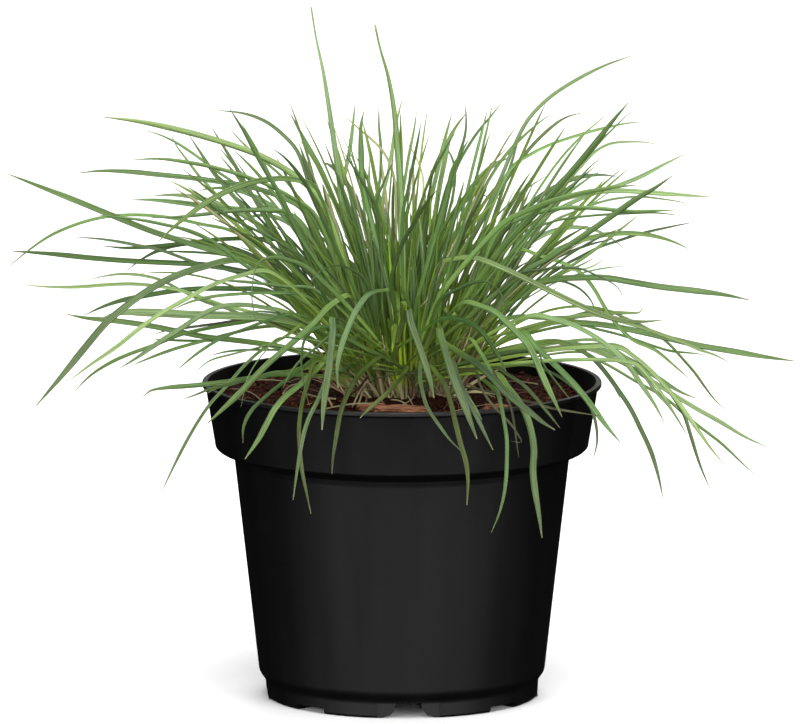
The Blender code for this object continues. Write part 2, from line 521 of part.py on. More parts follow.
def leaf_widths(count, width):
    """The blade's width at evenly spaced places: narrow in its sheath, then long, with a blunt point."""
    part = np.linspace(0.0, 1.0, count)
    sheath = 0.55 + 0.45 * np.clip(part / 0.3, 0.0, 1.0)
    taper = 0.6 + 0.4 * np.clip((1.0 - part) / 0.4, 0.0, 1.0)
    point = np.sqrt(np.clip((1.0 - part) / 0.05, 0.0, 1.0))
    return width * MM * sheath * taper * point


def is_clear(path, widths, placed):
    """Whether a leaf keeps its distance from every leaf in the list."""
    for other_path, other_widths in placed:
        apart = np.linalg.norm(path[:, None] - other_path[None], axis=2)
        needed = (widths[:, None] + other_widths[None]) / 2 + CLEARANCE * MM
        if (apart < needed).any():
            return False
    return True


def is_clear_of_pot(path, widths):
    """Whether a leaf keeps its distance from the lip, the wall and the peat."""
    radii = np.hypot(path[:, 0], path[:, 1])
    outside = radii - widths / 2 > (POT_LIP[2][0] + LIP_CLEARANCE) * MM
    over_lip = path[:, 2] - widths / 2 > (POT_LIP[0][1] + LIP_CLEARANCE) * MM
    over_peat = (path[:, 2] > (SOIL_TOP + SOIL_LUMP + 2) * MM) & (radii < (POT_LIP[0][0] - 6) * MM)
    return (outside | over_lip | over_peat).all()


def ring_places(count, segments):
    """Which of a path's points carry the blade's rings. The last segment is the short point."""
    return [round(i * (count - 1) / (segments - 0.7)) for i in range(segments)] + [count - 1]


def chords(path, segments):
    """The straight stretches that the blade's rings make of its path, with as many points."""
    picks = ring_places(len(path), segments)
    order = np.arange(len(path))
    return np.stack([np.interp(order, picks, path[picks, axis]) for axis in range(3)], axis=1)


def place_leaf(path_of, width, segments, placed, margin):
    """The leaf's path and widths outside the crown, moved out and in until it clears the blades placed.

    Its chords and widths join that list. The answer is None if no place is found.
    """
    for trial in range(TRIALS):
        nudge = (trial + 1) // 2 * (1 if trial % 2 else -1)
        path = path_of(nudge)
        start = 1 + max(i for i, point in enumerate(path) if in_crown(point, margin))
        widths = leaf_widths(PATH_SAMPLES, width)[start:]
        line = chords(path[start:], segments)
        if is_clear_of_pot(line, widths) and is_clear(line, widths, placed):
            placed.append((line, widths))
            return path[start:], widths
    return None


def blade_directions(path):
    """The direction across the blade and the direction its upper face looks, at each point.

    A blade lies square to the upright plane it bends in, then turns about its own length by one angle,
    part of the way towards the viewer.
    """
    tangents = np.gradient(path, axis=0)
    tangents /= np.linalg.norm(tangents, axis=1)[:, None]
    outward = path[-1] - path[0]
    level = np.array((-outward[1], outward[0], 0.0))
    level = level - (tangents @ level)[:, None] * tangents
    level /= np.linalg.norm(level, axis=1)[:, None]
    upper = np.cross(tangents, level)
    middle = len(path) // 2
    facing = np.cross(tangents[middle], EYE - path[middle])
    turn = math.atan2(facing @ upper[middle], facing @ level[middle])
    if turn > math.pi / 2:
        turn -= math.pi
    if turn < -math.pi / 2:
        turn += math.pi
    turn = max(-MOST_TURN, min(MOST_TURN, turn * TURN_TO_VIEWER))
    across = math.cos(turn) * level + math.sin(turn) * upper
    upper = np.cross(tangents, across)
    return across, upper if upper[:, 2].sum() > 0 else -upper


def add_blade(bm, path, widths, segments, ridge):
    """A closed folded blade from the path's start to its pointed tip. Ridge adds a thick middle on top."""
    picks = ring_places(len(path), segments)
    across, upper = blade_directions(path)
    thick = LEAF_THICKNESS * MM / 2
    rings = []
    for i in picks[:-1]:
        half = widths[i] / 2
        edge = upper[i] * widths[i] * LEAF_FOLD
        ring = [path[i] - across[i] * half + edge, path[i] - upper[i] * thick]
        ring.append(path[i] + across[i] * half + edge)
        if ridge:
            ring.append(path[i] + upper[i] * thick)
        rings.append([bm.verts.new(Vector(corner)) for corner in ring])
    tip = bm.verts.new(Vector(path[-1]))

    sides = len(rings[0])
    faces = []
    for low, high in zip(rings, rings[1:]):
        for k in range(sides):
            after = (k + 1) % sides
            faces.append(bm.faces.new((low[k], low[after], high[after], high[k])))
    for k in range(sides):
        faces.append(bm.faces.new((rings[-1][k], rings[-1][(k + 1) % sides], tip)))
    foot = rings[0]
    if ridge:
        faces.append(bm.faces.new((foot[3], foot[1], foot[0])))
        faces.append(bm.faces.new((foot[3], foot[2], foot[1])))
    else:
        faces.append(bm.faces.new(tuple(reversed(foot))))
    bmesh.ops.recalc_face_normals(bm, faces=faces)


def make_material(name, colour, roughness):
    """A plain surface of this colour and roughness."""
    material = bpy.data.materials.new(name)
    material.use_nodes = True
    shader = material.node_tree.nodes["Principled BSDF"]
    shader.inputs["Base Color"].default_value = (*colour, 1.0)
    shader.inputs["Roughness"].default_value = roughness
    shader.inputs["Metallic"].default_value = 0.0
    material.diffuse_color = (*colour, 1.0)
    return material


def add_object(name, mesh, collection, material=None):
    """An object with this mesh in this collection."""
    obj = bpy.data.objects.new(name, mesh)
    collection.objects.link(obj)
    if material:
        mesh.materials.append(material)
    return obj


def add_bmesh(name, bm, collection, material=None):
    """An object made from a bmesh, which is freed."""
    mesh = bpy.data.meshes.new(name)
    bmesh.ops.recalc_face_normals(bm, faces=bm.faces)
    bmesh.ops.triangulate(bm, faces=bm.faces)
    bm.to_mesh(mesh)
    bm.free()
    return add_object(name, mesh, collection, material)


def add_turned(name, profile, steps, collection, material=None):
    """A profile of radius and height in mm, turned about the Z axis."""
    mesh = bpy.data.meshes.new(name)
    points = [(radius * MM, 0.0, height * MM) for radius, height in profile]
    mesh.from_pydata(points, [(i, i + 1) for i in range(len(points) - 1)], [])
    obj = add_object(name, mesh, collection, material)
    screw = obj.modifiers.new("Turned", "SCREW")
    screw.axis = "Z"
    screw.angle = math.tau
    screw.steps = steps
    screw.render_steps = steps
    screw.use_merge_vertices = True
    screw.merge_threshold = 0.0001
    return obj


def add_boolean(obj, other, operation, use_self=False):
    """A Boolean of the object with another."""
    modifier = obj.modifiers.new(other.name, "BOOLEAN")
    modifier.operation = operation
    modifier.object = other
    modifier.solver = "EXACT"
    modifier.use_self = use_self


def hide_guide(obj):
    """Marks a cutter or a guide, which isn't part of the object."""
    obj.hide_render = True
    obj.display_type = "WIRE"


def add_bar(name, section, reach, turn, collection):
    """A bar through the axis, whose section is given by its right half from the top down, in mm."""
    outline = list(section) + [(-half, height) for half, height in reversed(section)]
    bm = bmesh.new()
    ends = []
    for x in (-reach, reach):
        ends.append([bm.verts.new(Vector((x, half, height)) * MM) for half, height in outline])
    count = len(outline)
    for k in range(count):
        after = (k + 1) % count
        bm.faces.new((ends[0][k], ends[0][after], ends[1][after], ends[1][k]))
    for end in ends:
        bm.faces.new(end)
    bmesh.ops.rotate(bm, verts=bm.verts, matrix=Matrix.Rotation(BASE_TURN + turn, 3, "Z"))
    return add_bmesh(name, bm, collection)


def add_cross(name, section, reach, collection):
    """Two bars that cross on the axis, joined in one."""
    along = add_bar(name, section, reach, 0.0, collection)
    across = add_bar(name + "_arm", section, reach, math.pi / 2, collection)
    add_boolean(along, across, "UNION")
    hide_guide(along)
    hide_guide(across)
    return along


def widened(section, wall, top, bottom):
    """The section with this much wall added all along, from this top down to this bottom."""
    outer = [(half + wall, height) for half, height in section[1:-1]]
    return ((section[0][0] + wall, top), *outer, (section[-1][0] + wall, bottom))


def add_blocks(name, width, levels, radii, turns, collection):
    """Blocks at these turns round the axis, between these two levels and these two radii, in mm."""
    bm = bmesh.new()
    for turn in turns:
        for vert in bmesh.ops.create_cube(bm, size=1.0)["verts"]:
            outward = radii[vert.co.x > 0]
            side = vert.co.y * width
            x = outward * math.cos(turn) - side * math.sin(turn)
            y = outward * math.sin(turn) + side * math.cos(turn)
            vert.co = Vector((x, y, levels[vert.co.z > 0])) * MM
    blocks = add_bmesh(name, bm, collection)
    hide_guide(blocks)
    return blocks


def add_notches(name, notch, turns, collection):
    """The cutter for notches at these turns round the foot ring."""
    width, height, inner = notch
    return add_blocks(name, width, (-2.0, height), (inner, NOTCH_REACH), turns, collection)


def add_roofs(name, wall, levels, reach, collection):
    """Four blocks, this much wider than the narrow notches on each side, that hold their roofs."""
    width, _, inner = NARROW_NOTCH
    radii = (inner - wall, reach)
    return add_blocks(name, width + 2 * wall, levels, radii, NARROW_TURNS, collection)


def add_drains(name, collection):
    """Five round drain holes through the roof of the channels."""
    bm = bmesh.new()
    for x, y in DRAIN_PLACES:
        made = bmesh.ops.create_cone(
            bm,
            cap_ends=True,
            segments=12,
            radius1=DRAIN_RADIUS * MM,
            radius2=DRAIN_RADIUS * MM,
            depth=4 * MM,
        )["verts"]
        bmesh.ops.translate(bm, verts=made, vec=Vector((x, y, CHANNEL_SECTION[0][1])) * MM)
    bmesh.ops.rotate(bm, verts=bm.verts, matrix=Matrix.Rotation(BASE_TURN, 3, "Z"))
    cutter = add_bmesh(name, bm, collection)
    hide_guide(cutter)
    return cutter


def build_pot(parts, cutters):
    """The pot: a turned wall, walls round the channels and narrow notches, and the cuts under its floor."""
    plastic = make_material("pot_plastic", (0.012, 0.012, 0.013), 0.42)
    pot = add_turned("pot", POT_INSIDE + POT_LIP + POT_OUTSIDE, POT_STEPS, parts, plastic)
    shell = widened(CHANNEL_SECTION, CHANNEL_WALL, FLOOR_TOP, 0.4)
    walls = add_cross("channel_walls", shell, CHANNEL_REACH, cutters)
    channels = add_cross("channels", CHANNEL_SECTION, CHANNEL_REACH + 12, cutters)
    roofs = add_roofs("notch_roofs", ROOF_WALL, (0.4, NARROW_NOTCH[1] + ROOF_WALL), ROOF_REACH, cutters)
    add_boolean(pot, walls, "UNION")
    add_boolean(pot, roofs, "UNION")
    add_boolean(pot, channels, "DIFFERENCE")
    add_boolean(pot, add_notches("wide_notches", WIDE_NOTCH, WIDE_TURNS, cutters), "DIFFERENCE")
    add_boolean(pot, add_notches("narrow_notches", NARROW_NOTCH, NARROW_TURNS, cutters), "DIFFERENCE")
    add_boolean(pot, add_drains("drains", cutters), "DIFFERENCE")
    return pot


def soil_height(x, y):
    """The height of the peat's surface at this place, in metres."""
    radius = math.hypot(x, y) / MM
    fade = min(max((radius - SOIL_TOP_RADII[1]) / 8.0, 0.0), 1.0)
    lump = noise.noise(Vector((x, y, 0.0)) / (SOIL_LUMP_SIZE * MM))
    return (SOIL_TOP + SOIL_LUMP * fade * lump) * MM


def build_soil(parts, cutters):
    """The plug of peat, which follows the pot's inside and straddles the channels and the roofs."""
    peat = make_material("soil", (0.035, 0.012, 0.007), 0.95)
    top = tuple((radius, SOIL_TOP) for radius in SOIL_TOP_RADII)
    turned = add_turned("soil_turned", top + SOIL_SIDE, SOIL_STEPS, cutters)
    graph = bpy.context.evaluated_depsgraph_get()
    mesh = bpy.data.meshes.new_from_object(turned.evaluated_get(graph))
    mesh.name = "soil"
    bpy.data.objects.remove(turned)
    for vert in mesh.vertices:
        if vert.co.z > (SOIL_TOP - 0.1) * MM:
            vert.co.z = soil_height(vert.co.x, vert.co.y)
    soil = add_object("soil", mesh, parts, peat)
    outer = widened(CHANNEL_SECTION, CHANNEL_WALL + 0.3, FLOOR_TOP + 0.3, 0.0)
    add_boolean(soil, add_cross("soil_bed", outer, 80, cutters), "DIFFERENCE")
    beds = add_roofs("roof_beds", ROOF_WALL + 0.3, (0.0, NARROW_NOTCH[1] + ROOF_WALL + 0.3), 80, cutters)
    add_boolean(soil, beds, "DIFFERENCE")
    return soil


def build_bark(parts):
    """A few chips of bark lying on the peat: split blocks with uneven ends."""
    for number, ((x, y), size, turn) in enumerate(BARK_CHIPS, 1):
        name = f"bark_chip_{number}"
        bm = bmesh.new()
        bmesh.ops.create_cube(bm, size=1.0)
        bmesh.ops.subdivide_edges(bm, edges=bm.edges, cuts=1, use_grid_fill=True)
        for vert in bm.verts:
            uneven = noise.noise(Vector(vert.co * 2.3) + Vector((number * 5.0, 0, 0)))
            pinch = 1.0 - 0.35 * abs(vert.co.x) * 2
            vert.co.x *= (1 + 0.25 * uneven) * size[0] * MM
            vert.co.y *= pinch * (1 + 0.3 * uneven) * size[1] * MM
            vert.co.z *= pinch * (1 + 0.3 * uneven) * size[2] * MM
        turn = Matrix.Rotation(math.radians(turn), 4, "Z")
        place = Vector((x, y, 0.0)) * MM
        lowest = min(vert.co.z for vert in bm.verts)
        floor = max(soil_height(*(place + turn @ vert.co).xy) for vert in bm.verts)
        chip = add_bmesh(name, bm, parts, make_material(name, (0.21, 0.075, 0.028), 0.9))
        chip.location = place + Vector((0.0, 0.0, floor + 2 * GAP - lowest))
        chip.rotation_euler = turn.to_euler()


def build_long_leaves(parts, placed):
    """Each long leaf and dry leaf as its own piece, starting at the crown's side."""
    number = 0
    for prefix, digits, rows in (("leaf", 2, LONG_LEAVES), ("dry_leaf", 1, DRY_LEAVES)):
        for place, row in enumerate(rows, 1):
            number += 1
            name = f"{prefix}_{place:0{digits}d}"
            path, widths = place_leaf(
                lambda nudge: leaf_path(row, number, nudge), row[0], LONG_LEAF_SEGMENTS, placed, 2 * GAP
            )
            bm = bmesh.new()
            add_blade(bm, path, widths, LONG_LEAF_SEGMENTS, ridge=True)
            root = Vector(path[0])
            bmesh.ops.translate(bm, verts=bm.verts, vec=-root)
            leaf = add_bmesh(name, bm, parts, make_material(name, row[1], 0.5))
            leaf.location = root


def build_crown(parts, cutters, placed):
    """The fluted crown with its tuft of leaves, joined in one solid clear of the long leaves."""
    sheath = make_material("crown", (0.19, 0.27, 0.05), 0.55)
    columns = 2 * CROWN_LOBES
    bm = bmesh.new()
    rings = []
    for step in range(CROWN_ROWS):
        height = CROWN_HEIGHT * MM * math.sin(step / CROWN_ROWS * math.pi / 2)
        ring = []
        for column in range(columns):
            bearing = math.tau * column / columns
            radius = crown_radius(height, bearing)
            place = (radius * math.cos(bearing), radius * math.sin(bearing), height + CROWN_FOOT * MM)
            ring.append(bm.verts.new(place))
        rings.append(ring)
    top = bm.verts.new((0.0, 0.0, (CROWN_FOOT + CROWN_HEIGHT) * MM))
    for low, high in zip(rings, rings[1:]):
        for k in range(columns):
            after = (k + 1) % columns
            bm.faces.new((low[k], low[after], high[after], high[k]))
    for k in range(columns):
        bm.faces.new((rings[-1][k], rings[-1][(k + 1) % columns], top))
    bm.faces.new(tuple(reversed(rings[0])))
    crown = add_bmesh("crown", bm, parts, sheath)

    tuft = bmesh.new()
    paths = []
    for number, row in enumerate(TUFT_LEAVES, 101):
        paths.append((row[0], lambda nudge, row=row, number=number: leaf_path(row, number, nudge)))
    for row in FAR_LEAVES:
        paths.append((FAR_LEAF_WIDTH, lambda nudge, row=row: far_leaf_path(*row, nudge)))
    for width, path_of in paths:
        segments = TUFT_LEAF_SEGMENTS - (width < THIN_TUFT_LEAF)
        leaf = place_leaf(path_of, width, segments, list(placed), -9 * MM)
        if leaf:
            add_blade(tuft, *leaf, segments, ridge=False)
    blades = add_bmesh("tuft_blades", tuft, cutters)
    hide_guide(blades)
    add_boolean(crown, blades, "UNION", use_self=True)
    return crown


def main():
    for obj in list(bpy.data.objects):
        bpy.data.objects.remove(obj)
    parts = bpy.data.collections.new("potted_ornamental_grass")
    cutters = bpy.data.collections.new("cutters")
    for collection in (parts, cutters):
        bpy.context.scene.collection.children.link(collection)

    build_pot(parts, cutters)
    build_soil(parts, cutters)
    build_bark(parts)
    placed = []
    build_long_leaves(parts, placed)
    build_crown(parts, cutters, placed)
    for obj in parts.objects:
        obj.data.shade_smooth()
        obj.data.set_sharp_from_angle(angle=math.radians(35))


main()
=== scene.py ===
"""Fine model of the potted ornamental grass, over its CAD frame.

Metres, +Z up, with the origin in the middle of the pot's underside and the viewer at -Y. Every piece
takes the place of the CAD node that it is named for, or stands on the crown.
"""

import json
import math
from functools import partial

import bmesh
import bpy
import numpy as np
from mathutils import Matrix, Vector, noise

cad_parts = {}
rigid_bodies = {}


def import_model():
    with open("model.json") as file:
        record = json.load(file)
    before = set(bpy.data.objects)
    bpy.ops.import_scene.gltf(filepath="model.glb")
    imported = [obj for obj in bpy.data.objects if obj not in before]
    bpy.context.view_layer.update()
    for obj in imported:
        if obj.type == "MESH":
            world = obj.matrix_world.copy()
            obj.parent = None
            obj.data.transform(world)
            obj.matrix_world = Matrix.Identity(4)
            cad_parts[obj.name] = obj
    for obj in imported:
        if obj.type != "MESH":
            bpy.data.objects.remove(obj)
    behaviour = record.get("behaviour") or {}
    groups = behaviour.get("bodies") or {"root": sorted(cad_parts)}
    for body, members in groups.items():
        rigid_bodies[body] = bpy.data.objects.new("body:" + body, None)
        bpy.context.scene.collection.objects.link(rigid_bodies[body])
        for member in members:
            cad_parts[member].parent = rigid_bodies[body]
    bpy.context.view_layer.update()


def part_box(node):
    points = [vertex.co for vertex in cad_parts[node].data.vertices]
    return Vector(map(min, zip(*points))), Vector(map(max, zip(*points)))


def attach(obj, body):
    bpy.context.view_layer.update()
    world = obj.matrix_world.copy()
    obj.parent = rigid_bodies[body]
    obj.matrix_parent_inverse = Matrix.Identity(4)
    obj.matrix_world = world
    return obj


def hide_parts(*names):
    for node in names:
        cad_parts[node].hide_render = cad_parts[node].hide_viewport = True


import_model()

pieces = bpy.context.scene.collection
cutters = bpy.data.collections.new("cutters")
pieces.children.link(cutters)

MM = 0.001
GAP = 0.3 * MM

# The pot's wall as radius and height in mm: up the inside, over the rolled lip, and down the outside. The
# lip and the collar's lower edge are a little squarer than the CAD's.
POT_INSIDE = (
    (0.0, 1.6),
    (59.6, 1.6),
    (60.4, 8.6),
    (65.9, 13.6),
    (78.4, 114.6),
    (84.6, 118.1),
    (87.2, 121.6),
    (91.2, 146.0),
    (92.0, 150.2),
)
POT_LIP = (
    (92.4, 151.0),
    (94.7, 151.0),
    (95.0, 150.7),
    (95.0, 149.1),
    (94.3, 148.5),
    (93.4, 148.3),
)
POT_OUTSIDE = (
    (93.0, 146.4),
    (88.75, 120.2),
    (87.4, 119.0),
    (80.6, 116.9),
    (79.6, 113.2),
    (68.1, 11.8),
    (65.2, 7.9),
    (64.9, 0.8),
    (64.2, 0.0),
    (0.0, 0.0),
)
# The bends of these three stretches: the radius in mm by the point's place in its list.
INSIDE_BENDS = {1: 1.0, 2: 1.5, 3: 1.5, 4: 1.5, 5: 1.5, 6: 1.0}
LIP_BENDS = {1: 0.15, 2: 0.15, 3: 0.4, 4: 0.3}
OUTSIDE_BENDS = {1: 0.4, 2: 0.4, 3: 0.7, 4: 0.6, 5: 1.5, 6: 1.2, 7: 0.3, 8: 0.2}
BEND_STEPS = 4
POT_STEPS = 192
POT_SHARP = 32
# What the leaves keep clear of, in mm: the lip's radius and top. Inside it they keep within this radius.
LIP_RADIUS = 95.0
LIP_TOP = 151.0
INSIDE_LIP = 86.6

# A cross of drainage channels runs under the floor, a little turned from the view. Its half-section in
# mm, as half-width and height, widens in a curve towards the ground.
BASE_TURN = math.radians(2.9)
CHANNEL_SECTION = (
    (5.9, 7.3),
    (6.7, 3.4),
    (8.8, 1.1),
    (13.2, -0.3),
)
CHANNEL_WALL = 1.5
WALL_FOOT = 0.4
FLOOR_TOP = 9.0
CHANNEL_REACH = 64.2
CUT_REACH = 12.0
DRAIN_RADIUS = 5.0
DRAIN_DEPTH = 4.0
DRAIN_PLACES = ((0, 0), (40, 0), (-40, 0), (0, 40), (0, -40))
# Notches in the foot ring, in mm: width, height, and how near the axis they are cut. There is a wide one
# in front and one behind, and four narrow ones, which run in under raised roofs in the floor.
WIDE_NOTCH = (30.0, 7.2, 62.2)
NARROW_NOTCH = (17.0, 2.5, 40.0)
NOTCH_REACH = 76.0
NOTCH_FOOT = -2.0
WIDE_TURNS = [BASE_TURN + math.radians(turn) for turn in (90, 270)]
NARROW_TURNS = [BASE_TURN + math.radians(turn) for turn in (45, 135, 225, 315)]
ROOF_WALL = 1.5
ROOF_REACH = 63.9

# The plug of peat, in mm. Its crumbly top rises and falls a little, and is level under the crown and at the
# wall. It is turned from even rings and one at the edge, and keeps this much clear of the floor's ridges.
SOIL_SIDE = (
    (89.9, 142.6),
    (87.0, 121.8),
    (84.2, 118.6),
    (78.1, 116.2),
    (77.8, 113.2),
    (65.4, 13.8),
    (60.0, 8.9),
    (59.2, 1.9),
    (0.0, 1.9),
)
SOIL_TOP = 143.0
SOIL_LUMP = 1.2
SOIL_RINGS = 100
SOIL_EVEN_RADIUS = 88.8
SOIL_EDGE = 89.5
SOIL_STEPS = 320
SOIL_SHARP = 80
BED_GAP = 0.3
BED_REACH = 80

# Bark chips on the peat, at the places of their CAD nodes: size along, across and up in mm, and turn.
BARK_CHIPS = (
    ((23.0, 12.0, 3.6), 4.0),
    ((11.0, 6.0, 3.2), 24.0),
    ((11.0, 5.0, 2.6), -18.0),
    ((15.0, 6.5, 3.0), 40.0),
)
BARK_CUTS = 14
BARK_SHARP = 40

# The crown that the CAD's leaves come out of, in mm: a fluted dome.
CROWN_RADIUS = 30.0
CROWN_HEIGHT = 50.0
CROWN_FLARE = 0.25
CROWN_LOBES = 12
CROWN_LOBE_DEPTH = 0.06
CROWN_FOOT = SOIL_TOP + 0.3

# The leaves grow from tillers, whose feet are spread through the crown by the golden angle, in mm. What is
# strewn or fanned round takes that angle as a rounded turn in radians.
TILLERS = 30
TILLER_SPREAD = 26.0
TILLER_LEAN = math.radians(34)
GOLDEN_ANGLE = math.radians(137.5078)
GOLDEN_TURN = 2.399963

# Where the leaves were sighted from: a far, slightly raised viewpoint in front of the pot.
EYE = np.array((-0.0009, -5.0, 0.961))
AIM = np.array((-0.0009, 0.0, 0.160))
PICTURE_MIDDLE = (400.0, 362.0)
PICTURE_WIDTH = 800
SENSOR_WIDTH = 36.0
FOCAL_PIXELS = 10650.0

# How a leaf is made: where it leaves the crown's foot, how its depth grows, and its section.
BASE_SPREAD = 21.0
DEPTH_POWER = 1.3
SHEATH_RISE = 20.0
PATH_SAMPLES = 60
LONG_LEAF_SEGMENTS = 7
TUFT_LEAF_SEGMENTS = 4
THIN_TUFT_LEAF = 1.5
LEAF_FOLD = 0.16
TURN_TO_VIEWER = 0.8
MOST_TURN = math.radians(65)
CLEARANCE = 0.7
LOW = 3.0
NUDGE_DEPTH = 2.5
NUDGE_TURN = math.radians(7)
TRIALS = 24
LIP_CLEARANCE = 1.0
# How far inside the crown's surface the tuft's leaves are still looked at, in mm.
TUFT_MARGIN = -9.0
# How a drooping leaf's bend grows along it, and how many points a curve has between two knots.
BEND_POWER = 1.4
CURVE_STEPS = 12
# The row of the crown's foot in the picture, how far a leaf's bearing sways from number to number, how
# much of the way to its first sighting its sheath goes up, at least this many mm, and how far from the
# axis the feet of the leaves behind stand, as a share of the others'.
FOOT_ROW = 390.0
SWAY = 0.2
SWAY_STEP = 2.4
SHEATH_PART = 0.45
LEAST_SHEATH = 4
FAR_SPREAD = 0.8
# A blade's last segment, its point, is shorter than the others by this part.
POINT_PART = 0.7
# How far over the peat's lumps a leaf keeps, in mm.
PEAT_CLEARANCE = 2

# Where each group starts to count, for the steady numbers that vary its pieces, and how many numbers each
# bunch has for its stems and sheaths.
TUFT_NUMBERS = 101
FAR_NUMBERS = 201
FILL_NUMBERS = 300
SHOOT_NUMBERS = 500
STRAW_NUMBERS = 700
SCATTER_NUMBERS = 750
STEM_NUMBERS = 900
BUNCH_ROOM = 20

# The kinds of leaf, by their slots. Fresh leaves and husks are only among the crown's.
GREEN = "leaf_green"
LIGHT = "leaf_light"
BLUE = "leaf_blue"
DARK = "leaf_dark"
YELLOW = "leaf_yellow"
TAN = "leaf_tan"
FRESH = "leaf_fresh"
HUSK = "husk"

